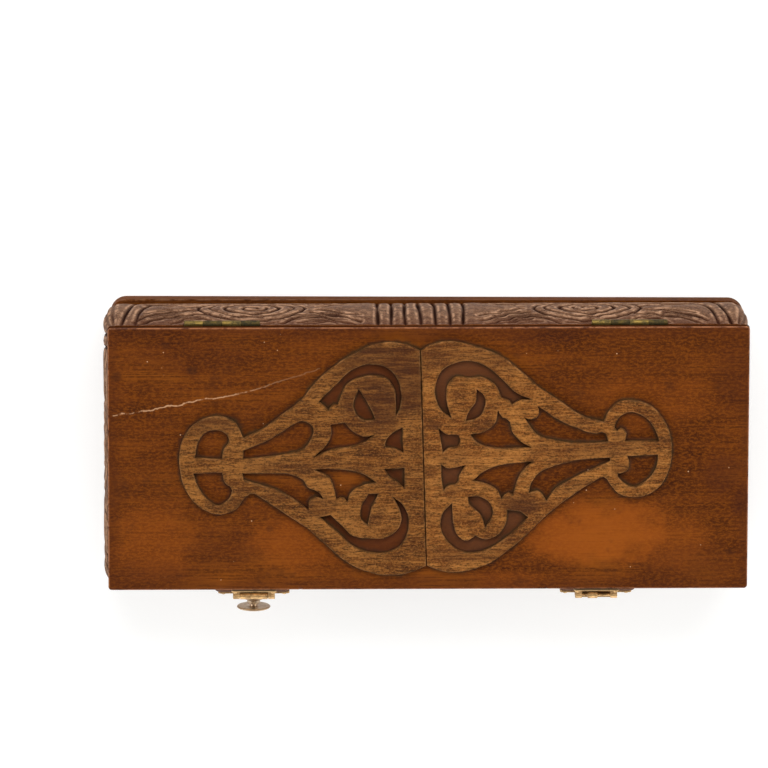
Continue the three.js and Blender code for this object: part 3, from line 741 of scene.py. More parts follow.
def carved_finish():
    """Brown carved wood with painted shade in the cuts, rubbed pale beside them and on the ridges, partly as
    a painted highlight.
    """
    f = Finish("carved_wood")
    carve = f.read("carve")
    fibre = f.noise(1.0, 4.0, 0.65, (0.12, 0.12, 1.6), (3, 1, 0))
    mottle = f.noise(0.4, 5.0, 0.72)
    stops = [(0.36, paint(62, 35, 22)), (0.5, paint(92, 62, 43)), (0.64, paint(128, 95, 71))]
    colour = f.ramp(mottle, stops)
    colour = f.mix(f.spread(fibre, 0.46, 0.62, 0.0, 0.75), colour, paint(52, 26, 15))
    grit = f.spread(f.noise(1.5, 4.0, 0.8), 0.4, 0.62)
    colour = f.cover(colour, grit, 0.35, paint(150, 112, 84))
    # Rubbed pale beside the cuts, which is partly a painted highlight.
    rim = f.times(f.spread(carve, 0.015, 0.07), f.fade(carve, 0.1, 0.26))
    rim = f.times(rim, f.spread(f.noise(0.3, 4.0, 0.7, offset=(6, 6, 2)), 0.42, 0.6))
    colour = f.cover(colour, rim, 0.75, paint(176, 136, 106))
    # Painted shade: the cuts are darkened almost to black.
    groove = f.plus(carve, f.times(f.minus(mottle, 0.5), 0.6))
    groove = f.spread(groove, 0.16, 0.62)
    colour = f.cover(colour, groove, 0.95, paint(42, 19, 10))
    _, _, z = f.axes()
    # Painted shade: the walls darken towards their top, under the lid.
    painted_shade_under_lid = f.spread(z, WALL_TOP - 8, WALL_TOP, 0.0, 0.5)
    colour = f.mix(painted_shade_under_lid, colour, paint(76, 40, 26))
    rough = f.plus(0.55, f.times(groove, 0.25))
    normal = f.bump(f.noise(1.4, 4.0, 0.7, (0.5, 0.5, 1)), 0.6, 0.35)
    return f.finish(0.04, base_color=colour, roughness=rough, normal=normal)


# ---- metal and felt ----


def brass_finish(name, bright, tarnish, cover, roughness, shine=1.0, painted_shade_y=None):
    """Old brass: cover is how much of it is tarnished, and shine how much of it still looks like metal.

    Behind the place that the last argument gives along Y, it is darkened with painted shade.
    """
    f = Finish(name)
    patch = f.noise(0.45, 5.0, 0.65)
    fine = f.noise(3.0, 4.0, 0.7, offset=(4, 0, 1))
    tone = f.weighted((patch, 0.7), (fine, 0.3))
    mask = f.spread(tone, 0.56 - cover * 0.25, 0.78 - cover * 0.25)
    colour = f.mix(mask, bright, tarnish)
    if painted_shade_y is not None:
        # Painted shade: the brass behind this place along Y is darkened.
        _, y, _ = f.axes()
        colour = f.mix(f.spread(y, painted_shade_y - 0.4, painted_shade_y, 0.0, 0.9), colour, paint(44, 26, 14))
    metal = f.minus(shine, f.times(mask, 0.45 * shine))
    rough = f.plus(roughness, f.times(mask, 0.3))
    normal = f.bump(f.noise(2.5, 5.0, 0.7), 0.25, 0.15)
    return f.finish(base_color=colour, metallic=metal, roughness=rough, normal=normal)


def felt_finish():
    f = Finish("felt")
    fibres = f.noise(4.0, 5.0, 0.8, distortion=1.5)
    pile = f.noise(0.05, 3.0)
    stops = [(0.3, paint(66, 14, 24)), (0.55, paint(104, 26, 38)), (0.75, paint(134, 48, 58))]
    colour = f.ramp(fibres, stops)
    colour = f.mix(f.spread(pile, 0.4, 0.65, 0.0, 0.4), colour, paint(78, 20, 30))
    normal = f.bump(fibres, 0.8, 0.5)
    f.surface.inputs["Sheen Weight"].default_value = 0.5
    f.surface.inputs["Sheen Roughness"].default_value = 0.5
    return f.finish(0.15, base_color=colour, roughness=0.95, normal=normal)


# ---- fretwork ----

# The spacing of points along the outlines, and between them.
FRET_STEP = 0.5
FRET_GRID = 1.0
# An outline has a corner where it turns by more than this.
CORNER_TURN = math.radians(28)
# The two halves meet near here, and lie a little closer together than their outlines.
SEAM_X = (span("fretwork_left")[1][0] + span("fretwork_right")[0][0]) / 2
SEAM_SHIFT = 0.14
# The arris is rounded over rings of points at these distances from the outline.
ARRIS_RINGS = (0.09, 0.22, 0.42)
ARRIS_RADIUS = 0.42
# The saw wandered this far from the drawn line, and the faces rise and fall this far.
SAW_WANDER = 0.06
FRET_UNEVEN = 0.05
# Each half reaches this far into the lid, so that no gap shows under it.
FRET_SINK = 0.05


def top_loops(node):
    """The closed outlines of a CAD node's top face, as arrays of [x, y]."""
    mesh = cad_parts[node].data
    top = span(node)[1][2]
    keys = [(round(v.co.x / MM, 3), round(v.co.y / MM, 3)) for v in mesh.vertices]
    high = [v.co.z / MM > top - 0.01 for v in mesh.vertices]
    edges = {}
    for face in mesh.polygons:
        if all(high[i] for i in face.vertices):
            corners = [keys[i] for i in face.vertices]
            edges.update(dict.fromkeys(zip(corners, corners[1:] + corners[:1])))
    following = {a: b for (a, b) in edges if (b, a) not in edges}
    loops = []
    while following:
        start, point = following.popitem()
        loop = [start]
        while point != start:
            loop.append(point)
            point = following.pop(point)
        loops.append(np.array(loop))
    loops.sort(key=lambda loop: (round(loop[:, 0].min(), 2), round(loop[:, 1].min(), 2)))
    return loops


def refine_loop(loop):
    """The same outline as a smooth line, broken at its corners."""
    before = loop - np.roll(loop, 1, axis=0)
    after = np.roll(loop, -1, axis=0) - loop
    cross = before[:, 0] * after[:, 1] - before[:, 1] * after[:, 0]
    turn = np.abs(np.arctan2(cross, (before * after).sum(1)))
    corners = [i for i in range(len(loop)) if turn[i] > CORNER_TURN]
    if not corners:
        return smooth_line(loop, FRET_STEP, closed=True)
    result = []
    for i, start in enumerate(corners):
        end = corners[(i + 1) % len(corners)]
        count = (end - start) % len(loop) or len(loop)
        run = [loop[(start + k) % len(loop)] for k in range(count + 1)]
        result.extend(smooth_line(run, FRET_STEP)[:-1])
    return np.array(result)


def inside(points, loops):
    """Whether each point lies inside an odd number of the loops."""
    result = np.zeros(len(points), bool)
    x, y = points[:, 0], points[:, 1]
    for loop in loops:
        low, high = loop.min(0), loop.max(0)
        near = np.where((x >= low[0]) & (x <= high[0]) & (y >= low[1]) & (y <= high[1]))[0]
        if len(near) == 0:
            continue
        odd = np.zeros(len(near), bool)
        for (x0, y0), (x1, y1) in zip(loop, np.roll(loop, -1, axis=0)):
            if y0 == y1:
                continue
            crosses = (y0 > y[near]) != (y1 > y[near])
            odd ^= crosses & (x[near] < (x1 - x0) * (y[near] - y0) / (y1 - y0) + x0)
        result[near] ^= odd
    return result


def line_tree(lines, step=0.2):
    """A tree of closely spaced points on closed lines, for finding distances."""
    samples = []
    for line in lines:
        for start, end in zip(line, np.roll(line, -1, axis=0)):
            count = max(1, math.ceil(np.linalg.norm(end - start) / step))
            samples.extend(start + (end - start) * k / count for k in range(count))
    tree = KDTree(len(samples))
    for i, (x, y) in enumerate(samples):
        tree.insert((x, y, 0), i)
    tree.balance()
    return tree


def distances(tree, points):
    """How far each point lies from the tree's nearest one."""
    return np.array([tree.find((x, y, 0))[2] for x, y in points])


def ring_points(loop, offset, sign):
    """Points beside a loop at a distance, on the side that the sign says."""
    along = np.roll(loop, -1, axis=0) - np.roll(loop, 1, axis=0)
    length = np.maximum(np.linalg.norm(along, axis=1), 1e-9)
    normal = np.stack([-along[:, 1], along[:, 0]], 1) / length[:, None]
    return loop + normal * offset * sign


def sawn_line(loop, seed):
    """The refined outline as a hand-held saw cut it, except along the straight seam."""
    line = refine_loop(loop)
    waver = SAW_WANDER * wander(np.arange(len(line)) * FRET_STEP, 7, seed)
    away = np.clip(np.abs(line[:, 0] - SEAM_X) - 2, 0, 1)
    return ring_points(line, (waver * away)[:, None], 1)


# Dark stain on the two halves.
LEFT_STAINS = [
    (-16, 34, 26, 9, 1.0), (-18, 20, 14, 12, 1.0), (-6, 26, 10, 14, 1.0), (-74, 12, 10, 5, 0.8),
    (-45, -3, 26, 3.5, 0.4), (-70, -16, 8, 4, 0.4), (-38, -17, 7, 6, 0.6), (-20, 38, 14, 3, 0.5),
    (-46, 18, 8, 5, 0.3),
]
RIGHT_STAINS = [
    (2, 12, 3, 2, 0.9), (22, 11, 9, 3, 0.6), (14, 35, 24, 7, 0.7), (32, -16, 9, 5, 0.9),
    (12, -34, 16, 4, 0.7), (58, 3, 18, 4, 0.6), (66, 8, 4, 4, 0.6), (66, -4, 4, 4, 0.6),
    (52, -10, 12, 4, 0.5), (8, 0, 8, 3, 0.5), (48, 12, 10, 3, 0.4),
]


def loop_edges(loops):
    """Pairs of neighbouring points, when the loops' points are counted one loop after another."""
    edges = []
    first = 0
    for loop in loops:
        count = len(loop)
        edges.extend((first + i, first + (i + 1) % count) for i in range(count))
        first += count
    return edges


def points_within(loops, tree):
    """Points inside a half: close rings along its outlines and an even grid between them."""
    extra = []
    for offset in ARRIS_RINGS:
        for loop in loops:
            ring = ring_points(loop, offset, 1)
            # A loop's wood may be on its left or right, so the side that is inside counts.
            if inside(ring, loops).mean() < 0.5:
                ring = ring_points(loop, offset, -1)
            ring = ring[inside(ring, loops)]
            extra.append(ring[distances(tree, ring) > offset * 0.93])
    outline = np.vstack(loops)
    low, high = outline.min(0), outline.max(0)
    steps = [np.arange(low[axis], high[axis], FRET_GRID) for axis in (0, 1)]
    grid = np.stack(np.meshgrid(*steps), -1).reshape(-1, 2)
    grid = grid[inside(grid, loops)]
    extra.append(grid[distances(tree, grid) > FRET_GRID])
    return extra


def make_fretwork(side, loops, material):
    """One half: a flat plate with rubbed arrises and a slightly uneven face."""
    tree = line_tree(loops)
    points = [Vector(p) for p in np.vstack(loops + points_within(loops, tree))]
    flat, _, faces, _, _, _ = geometry.delaunay_2d_cdt(points, loop_edges(loops), [], 0, 1e-5)
    flat = np.array([(p.x, p.y) for p in flat])
    faces = np.array(faces)
    faces = faces[inside(flat[faces].mean(1), loops)]
    used = np.unique(faces)
    order = np.zeros(len(flat), int)
    order[used] = np.arange(len(used))
    flat, faces = flat[used], order[faces]
    return close_fretwork(side, flat, faces, tree, material)


def close_fretwork(side, flat, faces, tree, material):
    """Gives the triangulated plan its rounded top, its sides and its underside."""
    count = len(flat)
    distance = distances(tree, flat)
    reach = np.clip(ARRIS_RADIUS - distance, 0, None)
    drop = ARRIS_RADIUS - np.sqrt(ARRIS_RADIUS ** 2 - reach ** 2)
    uneven = wander(flat[:, 0], 19, f"{side}x") + wander(flat[:, 1], 11, f"{side}y")
    top = np.column_stack([flat, FRET_TOP - drop * 0.8 + FRET_UNEVEN * uneven * (distance > 0)])
    bottom = np.column_stack([flat, np.full(count, LID_TOP - FRET_SINK)])
    faces = faces.tolist()
    edges = dict.fromkeys(edge for a, b, c in faces for edge in ((a, b), (b, c), (c, a)))
    border = [(a, b) for (a, b) in edges if (b, a) not in edges]
    all_faces = faces + [(c + count, b + count, a + count) for a, b, c in faces]
    all_faces += [(b, a, a + count, b + count) for a, b in border]
    piece = new_object(f"fretwork_{side}_half", np.vstack([top, bottom]), all_faces, material)
    face_outward(piece)
    smooth(piece, 50)
    set_attribute(piece, "arris", np.concatenate([np.exp(-distance / 0.45), np.zeros(count)]))
    set_attribute(piece, "side", np.concatenate([np.zeros(count), np.ones(count)]))
    stands_for(piece, "lid", "fretwork_wood", f"fretwork_{side}")


# ---- lid ----

# The radius of the upper arris and of the corners, and the width of the chamfer below.
LID_ARRIS = 0.5
LID_CORNER = 1.2
LID_UNDER_ARRIS = 0.4
# The board is a little warped, and its edge is dented in places.
LID_WAVE_X = 0.06
LID_WAVE_Y = 0.05
DENT_DEPTH = 0.6
DENT_WIDTH = 0.9
# Grid lines near an edge lie at these distances from it. The others are close together around the fretwork
# and less so beyond a margin beside it.
EDGE_STEPS = (0.0, 0.05, 0.16, 0.34, 0.6, 1.0, 1.6)
FINE_STEP = 0.5
COARSE_STEP = 1.2
FRET_MARGIN = 4


def graded_lines(low, high, fine_low, fine_high, fine, coarse):
    """Grid lines: close at both ends, fine in one stretch and coarse in the others."""
    ends = np.array(EDGE_STEPS)
    start, stop = low + ends[-1], high - ends[-1]
    parts = [low + ends, high - ends]
    for a, b, step in ((start, fine_low, coarse), (fine_low, fine_high, fine), (fine_high, stop, coarse)):
        if b > a:
            parts.append(np.linspace(a, b, max(2, round((b - a) / step) + 1)))
    return np.unique(np.round(np.concatenate(parts), 4))


def round_corners(x, y, half_length, half_depth, radius):
    """Moves grid points so that a rectangle's corners are round. Returns x, y and edge distance."""
    u = np.clip((np.abs(x) - (half_length - radius)) / radius, 0, 1)
    v = np.clip((np.abs(y) - (half_depth - radius)) / radius, 0, 1)
    corner = (u > 0) & (v > 0)
    round_u = u * np.sqrt(1 - v ** 2 / 2)
    round_v = v * np.sqrt(1 - u ** 2 / 2)
    new_x = np.where(corner, np.sign(x) * (half_length - radius + round_u * radius), x)
    new_y = np.where(corner, np.sign(y) * (half_depth - radius + round_v * radius), y)
    straight = np.minimum(half_length - np.abs(x), half_depth - np.abs(y))
    edge = np.where(corner, radius * (1 - np.hypot(round_u, round_v)), straight)
    return new_x, new_y, edge


def make_lid(material):
    """The lid panel, with rubbed arrises, small dents and the hinges' seats."""
    half_length = LID_HIGH[0]
    half_depth = LID_HALF_DEPTH
    fret_low = span("fretwork_left")[0][0] - FRET_MARGIN
    fret_high = span("fretwork_right")[1][0] + FRET_MARGIN
    xs = graded_lines(-half_length, half_length, fret_low, fret_high, FINE_STEP, COARSE_STEP)
    ys = graded_lines(-half_depth, half_depth, -half_depth + 2, half_depth - 2, FINE_STEP, COARSE_STEP)
    x, y = [part.ravel() for part in np.meshgrid(xs, ys)]
    x, y, edge = round_corners(x, y, half_length, half_depth, LID_CORNER)
    reach = np.clip(LID_ARRIS - edge, 0, None)
    drop = LID_ARRIS - np.sqrt(np.clip(LID_ARRIS ** 2 - reach ** 2, 0, None))
    wave = LID_WAVE_X * wander(x, 70, "lid_x") + LID_WAVE_Y * wander(y, 31, "lid_y")
    dents = DENT_DEPTH * np.clip(wander(x * 1.3 + y * 2.1, 9, "dents") - 0.75, 0, None)
    near = np.exp(-edge / DENT_WIDTH)
    z = LID_TOP - drop + wave * (1 - near) - dents * near
    top = np.column_stack([x, y + LID_MIDDLE_Y, z])
    piece = close_slab("lid_board", top, len(xs), len(ys), LID_LOW[2], material)
    seats = [tool for centre in HINGE_CENTRES for tool in seat_tools(centre, 1)]
    combine(piece, seats, "DIFFERENCE")
    smooth(piece, 40)
    set_dirt_and_shade(piece)
    stands_for(piece, "lid", "stained_wood", "lid_panel")


def close_slab(name, top, columns, rows, bottom, material):
    """A slab with an underside at the bottom height, from the grid of points on its top."""
    index = np.arange(rows * columns).reshape(rows, columns)
    border = np.concatenate([index[0, :], index[1:, -1], index[-1, -2::-1], index[-2:0:-1, 0]])
    rim = top[border]
    inward = rim[:, :2] * (1 - LID_UNDER_ARRIS / np.maximum(np.abs(rim[:, :2]).max(1), 1))[:, None]
    low_side = np.column_stack([rim[:, :2], np.full(len(rim), bottom + LID_UNDER_ARRIS)])
    under = np.column_stack([inward, np.full(len(rim), bottom)])
    points = np.vstack([top, low_side, under])
    count = len(rim)
    side = len(top)
    faces = sweep_faces(columns, rows, closed=False)
    for i in range(count):
        j = (i + 1) % count
        faces.append((border[j], border[i], side + i, side + j))
        faces.append((side + j, side + i, side + count + i, side + count + j))
    faces.append(tuple(range(side + count, side + 2 * count)))
    faces = [tuple(int(i) for i in face) for face in faces]
    return face_outward(new_object(name, points, faces, material))


# Film covers an opening whose middle is nearer than this to the fretwork. In a wider one it fades away from
# the sides over its width, and the dirt and painted shade along the fretwork fade over their own.
NARROW_OPENING = 3.2
FILM_WIDTH = 1.1
DIRT_AND_SHADE_WIDTH = 0.78


def set_dirt_and_shade(piece):
    """How much dirt and painted shade lies on each point of the lid: most against the fretwork and in its
    openings.
    """
    loops = FRET_LOOPS["left"] + FRET_LOOPS["right"]
    tree = line_tree(loops, 0.4)
    points = vertex_points(piece)
    flat = points[:, :2]
    distance = distances(tree, flat)
    outer = [max(FRET_LOOPS[side], key=lambda loop: np.ptp(loop[:, 0])) for side in SIDES]
    opening = inside(flat, outer) & ~inside(flat, loops)
    on_top = points[:, 2] > LID_TOP - 1
    width = DIRT_AND_SHADE_WIDTH * (1 + 0.4 * wander(flat[:, 0] + flat[:, 1], 13, "dirt"))
    # The dirt attribute carries both dirt and painted shade along the fretwork.
    set_attribute(piece, "dirt", np.exp(-distance / width) * on_top)
    film = np.zeros(len(flat))
    for loop in loops:
        own = opening & inside(flat, [loop])
        if not own.any() or any(loop is other for other in outer):
            continue
        narrow = distance[own].max() < NARROW_OPENING
        film[own] = 1.0 if narrow else np.exp(-distance[own] / FILM_WIDTH)
    set_attribute(piece, "film", film * on_top)


# ---- hinges' places, which the lid and the rear wall share ----

HINGE_CENTRES = [middle(f"hinge_{side}_pin", 0) for side in SIDES]
HINGE_LENGTH = size("hinge_left_pin", 0)
HINGE_Y = middle("hinge_left_pin", 1)
HINGE_Z = middle("hinge_left_pin", 2)
HINGE_KNUCKLES = 4
KNUCKLE_RADIUS = 1.1
LEAF_THICKNESS = 0.8
LEAF_FRONT = span("hinge_left_lid_leaf")[0][1]
CLEARANCE = 0.2


def seat_tools(centre, side):
    """Cutters for a leaf's seat. side is 1 in the lid's underside and -1 in the wall's top."""
    half = HINGE_LENGTH / 2 + CLEARANCE
    face = LID_LOW[2] if side > 0 else WALL_TOP
    depth = (LEAF_THICKNESS + CLEARANCE / 2) * side
    z0, z1 = sorted((face - side, face + depth))
    seat = block("seat", (centre - half, LEAF_FRONT - CLEARANCE, z0), (centre + half, HINGE_Y + 0.4, z1))
    groove = bar("groove", KNUCKLE_RADIUS + CLEARANCE, centre - half, centre + half, HINGE_Y, HINGE_Z)
    return [seat, groove]


# ---- carved walls ----

WALL_THICKNESS = 6.0
WALL_BULGE = 2.4
WALL_CORNER = 2.8
# A wall's mitred ends stop this far short of the neighbouring wall.
SEAM = 0.05
# Uncut wood stands this far proud of the smooth board.
CARVE_LIFT = 0.1
# The spacing of points on a wall's face, and along a cut.
CARVE_STEP = 0.4
CUT_STEP = 0.8
# The middle of the rear wall's carving.
CARVING_X = -2.1
MIDDLE = WALL_HEIGHT / 2
# A cut is a rounded hollow with a sharp notch in its middle. Its strength scales how deep both are.
HOLLOW_DEPTH = 0.8
HOLLOW_WIDTH = 1.3
NOTCH_DEPTH = 0.6
NOTCH_WIDTH = 0.6
# Nothing of a cut is left this far from its line.
CUT_REACH = 5

# Cuts on the long walls' right half. A point is the distance from the carving's middle and the height
# above mid-height. Cuts in MIRRORED come with their strength, and repeat below mid-height.
REEDS = (0.0, 4.9, 9.7, 14.6)
REED_STRENGTH = 1.2
MIRRORED = [
    ([(22.6, 15.4), (29.6, 11.4), (35.6, 9.2), (40.6, 9.2), (43.8, 10.6), (47.6, 14.6)], 1.0),
    ([(20.6, 12.6), (26.6, 9.4), (32.6, 6.7), (37.6, 5.4)], 1.0),
    ([(20.4, 8.0), (26.0, 6.6), (31.0, 4.2), (35.6, 1.2)], 0.7),
    ([(25.0, 15.4), (31.5, 13.4), (37.5, 12.6), (42.0, 13.6)], 0.6),
    ([(73.6, 6.6), (80.6, 7.2), (87.0, 9.0), (92.6, 11.6), (97.0, 15.4)], 1.2),
    ([(76.0, 2.6), (82.6, 3.4), (89.0, 5.4), (94.2, 8.6), (98.2, 13.0)], 1.0),
    ([(70.6, 14.0), (75.0, 10.6), (80.6, 10.6), (85.6, 14.6)], 0.8),
    ([(50.0, 13.8), (56.5, 15.0), (63.0, 14.0)], 0.6),
]
# Nested rings, each by its half length, half height and strength, around a scroll of a given radius.
RING_CENTRE = 57.6
RING_SIZES = [(18.4, 12.4, 1.1), (14.6, 9.4, 0.7), (9.6, 6.6, 1.0)]
SCROLL_RADIUS = 4.2
# The finer gouge strokes beside a cut: how far above it each lies, and by what the cut's length is divided
# to give the part that the stroke leaves out at its start.
VEINS = ((1.7, 4), (-1.5, 3))
VEIN_SHIFT = 0.9
VEIN_STRENGTH = 0.55
# The short walls have a smaller ring, between leaves that are three of the long wall's, moved inward.
SHORT_WALL_SCALE = 0.92
SHORT_WALL_LEAVES = MIRRORED[4:7]
SHORT_WALL_SHIFT = 56.0


def almond_line(centre, half_length, half_height, steps=56):
    """A closed line with pointed ends about (centre, 0) in carving coordinates."""
    angles = np.radians(np.linspace(0, 360, steps))
    rise = np.sin(angles) * np.abs(np.sin(angles)) ** 0.3
    return np.stack([centre + half_length * np.cos(angles), half_height * rise], 1)


def spiral_line(centre, radius, end_radius, start, turns, steps=60):
    """A scroll that winds inward."""
    t = np.linspace(0, 1, steps)
    angles = math.radians(start) + turns * 2 * math.pi * t
    radii = radius + (end_radius - radius) * t
    return np.stack([centre + radii * 1.25 * np.cos(angles), radii * 0.9 * np.sin(angles)], 1)


def ring_cuts(centre, scale=1.0):
    """Nested almond shapes around a scroll."""
    cuts = []
    for half_length, half_height, strength in RING_SIZES:
        cuts.append((almond_line(centre, half_length * scale, half_height * scale), strength))
    scroll = spiral_line(centre, SCROLL_RADIUS * scale, 1.2 * scale, start=200, turns=-1.1)
    return cuts + [(scroll, 0.9)]


def with_veins(line, strength):
    """A cut and the finer gouge strokes beside it."""
    count = len(line)
    cuts = [(line, strength)]
    for lift, share in VEINS:
        vein = line[count // share:count - count // (share + 1)] + (VEIN_SHIFT, lift)
        if len(vein) > 2:
            cuts.append((vein, VEIN_STRENGTH))
    return cuts


def mirrored(cuts, flip):
    """Each cut, followed by its mirror image: flip is (-1, 1) along the wall and (1, -1) up it."""
    return [(line * way, strength) for line, strength in cuts for way in ((1, 1), flip)]


def long_wall_cuts():
    """Cuts on a long wall, as (line, strength) with the line in [distance along, height over middle]."""
    cuts = ring_cuts(RING_CENTRE)
    for points, strength in MIRRORED:
        cuts += mirrored(with_veins(smooth_line(points, CUT_STEP), strength), (1, -1))
    for place in REEDS:
        cuts.append((np.array([(place, -MIDDLE), (place, MIDDLE)]), REED_STRENGTH))
    return mirrored(cuts, (-1, 1))


def short_wall_cuts():
    """Cuts on a short wall: one ring between leaves."""
    cuts = ring_cuts(0.0, SHORT_WALL_SCALE)
    for points, strength in SHORT_WALL_LEAVES:
        leaf = smooth_line(points, CUT_STEP) - (SHORT_WALL_SHIFT, 0)
        cuts += mirrored(mirrored([(leaf, strength)], (-1, 1)), (1, -1))
    return cuts


def corner_cuts(reach):
    """Leaning grooves beside the corners, for a wall whose outer face runs to the reach."""
    near = [(3.4, MIDDLE), (4.6, 8), (6.4, -2), (8.6, -MIDDLE)]
    far = [(7.8, MIDDLE), (8.8, 9), (10.6, 1), (13.6, -6), (18.0, -8.6)]
    corner = [(1.2, -MIDDLE), (0.6, MIDDLE)]
    cuts = []
    for points, strength in ((near, 1.2), (far, 1.0), (corner, 0.5)):
        line = smooth_line([(reach - inward, height) for inward, height in points], CUT_STEP)
        cuts += mirrored([(line, strength)], (-1, 1))
    return cuts


def carve_depth(along, height, cuts):
    """How deep the carving is at each point, and how much of a groove it is, from 0 to 1."""
    depth = np.zeros(len(along))
    groove = np.zeros(len(along))
    points = np.stack([along, height], 1)
    for line, strength in cuts:
        low, high = line.min(0) - CUT_REACH, line.max(0) + CUT_REACH
        near = np.where(((points > low) & (points < high)).all(1))[0]
        if len(near) == 0:
            continue
        nearest = np.full(len(near), 99.0)
        for start, end in zip(line[:-1], line[1:]):
            run = end - start
            t = np.clip(((points[near] - start) @ run) / max(run @ run, 1e-9), 0, 1)
            away = points[near] - start - t[:, None] * run
            nearest = np.minimum(nearest, np.hypot(away[:, 0], away[:, 1]))
        hollow = HOLLOW_DEPTH * strength * np.exp(-nearest / HOLLOW_WIDTH)
        notch = NOTCH_DEPTH * strength * np.clip(1 - nearest / NOTCH_WIDTH, 0, 1)
        depth[near] = np.maximum(depth[near], hollow + notch)
        groove[near] = np.maximum(groove[near], np.exp(-nearest / 0.5) * min(1.0, strength))
    return depth, groove


def profile_bulge(t):
    """How far the wall's face stands out at a share t of its height."""
    return 4 * WALL_BULGE * t * (1 - t)


def wall_columns(reach, extra):
    """Places along a wall: evenly spaced ones and the extra ones."""
    lines = np.linspace(-reach, reach, round(2 * reach / CARVE_STEP) + 1)
    return np.unique(np.round(np.concatenate([lines, extra]), 4))


def carved_relief(name, s, v, reach, centre, lines):
    """How far each point stands out from the wall's straight plane, and how much of a groove it is.

    s is a point's place along the wall and v its height. The gouge wavered, and cut deeper in some places
    than in others. Near the wall's upper and lower edges it cut less.
    """
    waver_s = s + 0.5 * wander(s * 0.5 + v * 0.16, 13, f"{name}_s")
    waver_v = v - MIDDLE + 0.6 * wander(s - v * 0.7, 12, f"{name}_v")
    depth, groove = carve_depth(waver_s - centre, waver_v, lines)
    end_depth, end_groove = carve_depth(waver_s, waver_v, corner_cuts(reach))
    depth = np.maximum(depth, end_depth)
    groove = np.maximum(groove, end_groove)
    force = 1 + 0.3 * wander(s + v * 0.9, 17, f"{name}_force")
    depth *= np.clip(np.minimum(v, WALL_HEIGHT - v) / 1.2, 0.25, 1) * force
    groove *= np.clip(force, 0.5, 1.2)
    return profile_bulge(v / WALL_HEIGHT) + CARVE_LIFT - depth, groove


def wall_section(along, s, v, out, half_length, half_depth, reach):
    """A wall's points, as a ring of outer and inner ones at each place along it."""
    columns = len(along)
    angle = np.clip((np.abs(s) - (half_length - WALL_CORNER)) / WALL_CORNER, 0, None)
    straight = np.minimum(np.abs(s), half_length - WALL_CORNER)
    x = np.sign(s) * (straight + (WALL_CORNER + out) * np.sin(angle))
    y = half_depth - WALL_CORNER + (WALL_CORNER + out) * np.cos(angle)
    outer = np.column_stack([x, y, WALL_BOTTOM + v]).reshape(columns, -1, 3)
    # Each end stops just short of its mitre plane.
    outer[:, :, 0] -= np.sign(along)[:, None] * SEAM * (np.abs(along) > reach - 1)[:, None]
    inner = np.zeros((columns, 2, 3))
    inner[:, :, 0] = (along / reach * (half_length - WALL_THICKNESS - SEAM))[:, None]
    inner[:, :, 1] = half_depth - WALL_THICKNESS
    inner[:, :, 2] = WALL_TOP, WALL_BOTTOM
    return np.concatenate([outer, inner], axis=1)


def make_wall(name, half_length, half_depth, turn, carving, pads, *materials):
    """One wall with half of each corner. It is drawn along X at +Y, then turned about Z.

    carving is the place of the carving's middle and its cuts, and pads the places of the flats.
    """
    reach = half_length - WALL_CORNER + WALL_CORNER * math.pi / 4
    reaches = [end * (PAD_WIDTH / 2 + beyond) for end in (-1, 1) for beyond in (-0.02, 0.3)]
    edges = [pad + pad_reach for pad in pads for pad_reach in reaches]
    along = wall_columns(reach, np.array(edges))
    height = np.linspace(0, WALL_HEIGHT, round(WALL_HEIGHT / CARVE_STEP) + 1)
    columns, rows = len(along), len(height)
    s, v = [part.ravel() for part in np.meshgrid(along, height, indexing="ij")]
    out, groove = carved_relief(name, s, v, reach, *carving)
    for pad in pads:
        out, groove = raise_pad(out, groove, s - pad, v)
    points = wall_section(along, s, v, out, half_length, half_depth, reach).reshape(-1, 3)
    count = rows + 2
    faces = sweep_faces(count, columns)
    faces.append(tuple(range(count)))
    faces.append(tuple(reversed(range((columns - 1) * count, columns * count))))
    rotate = np.array([[math.cos(turn), -math.sin(turn)], [math.sin(turn), math.cos(turn)]])
    points[:, :2] = points[:, :2] @ rotate.T
    points[:, 0] += BODY_X
    piece = face_outward(new_object(f"{name}_carved", points, faces, *materials))
    carve = np.zeros((columns, count))
    carve[:, :rows] = groove.reshape(columns, rows)
    set_attribute(piece, "carve", carve.ravel())
    return piece


# The flats on the front wall that carry the keepers.
PAD_WIDTH = 26.4
# The pads lie this much nearer to the box's ends than the catches do.
PAD_SHIFT = 0.5
# How far a pad reaches down, how high and how deep the slope at its top is, and how long its round ends are.
PAD_DROP = 20.2
PAD_SLOPE = 2.4
PAD_TOP_BACK = 1.3
PAD_END = 2.4
# How far the pad's face stands out from the wall's straight plane.
PAD_FACE = -span("front_wall")[0][1] - (REAR_HIGH[1] - WALL_BULGE)


def raise_pad(out, groove, s, v):
    """The flat on the front wall under a keeper. Its top slopes back under the lid."""
    inside_pad = (np.abs(s) <= PAD_WIDTH / 2) & (v >= WALL_HEIGHT - PAD_DROP)
    slope = np.clip((WALL_HEIGHT - v) / PAD_SLOPE, 0, 1)
    end = np.clip((np.abs(s) - (PAD_WIDTH / 2 - PAD_END)) / PAD_END, 0, 1)
    round_end = PAD_END * 0.7 * (1 - np.sqrt(1 - end ** 2))
    face = PAD_FACE - PAD_TOP_BACK * (1 - slope) - round_end
    out = np.where(inside_pad, np.maximum(out, face), out)
    return out, np.where(inside_pad, 0.0, groove)


def paint_inside(piece, outward):
    """Gives the faces that look inward and the top rim the second material."""
    for face in piece.data.polygons:
        if face.normal.dot(outward) < -0.9 or face.normal.z > 0.98:
            face.material_index = 1


CATCH_CENTRES = [middle(f"catch_{side}_pin", 0) for side in SIDES]


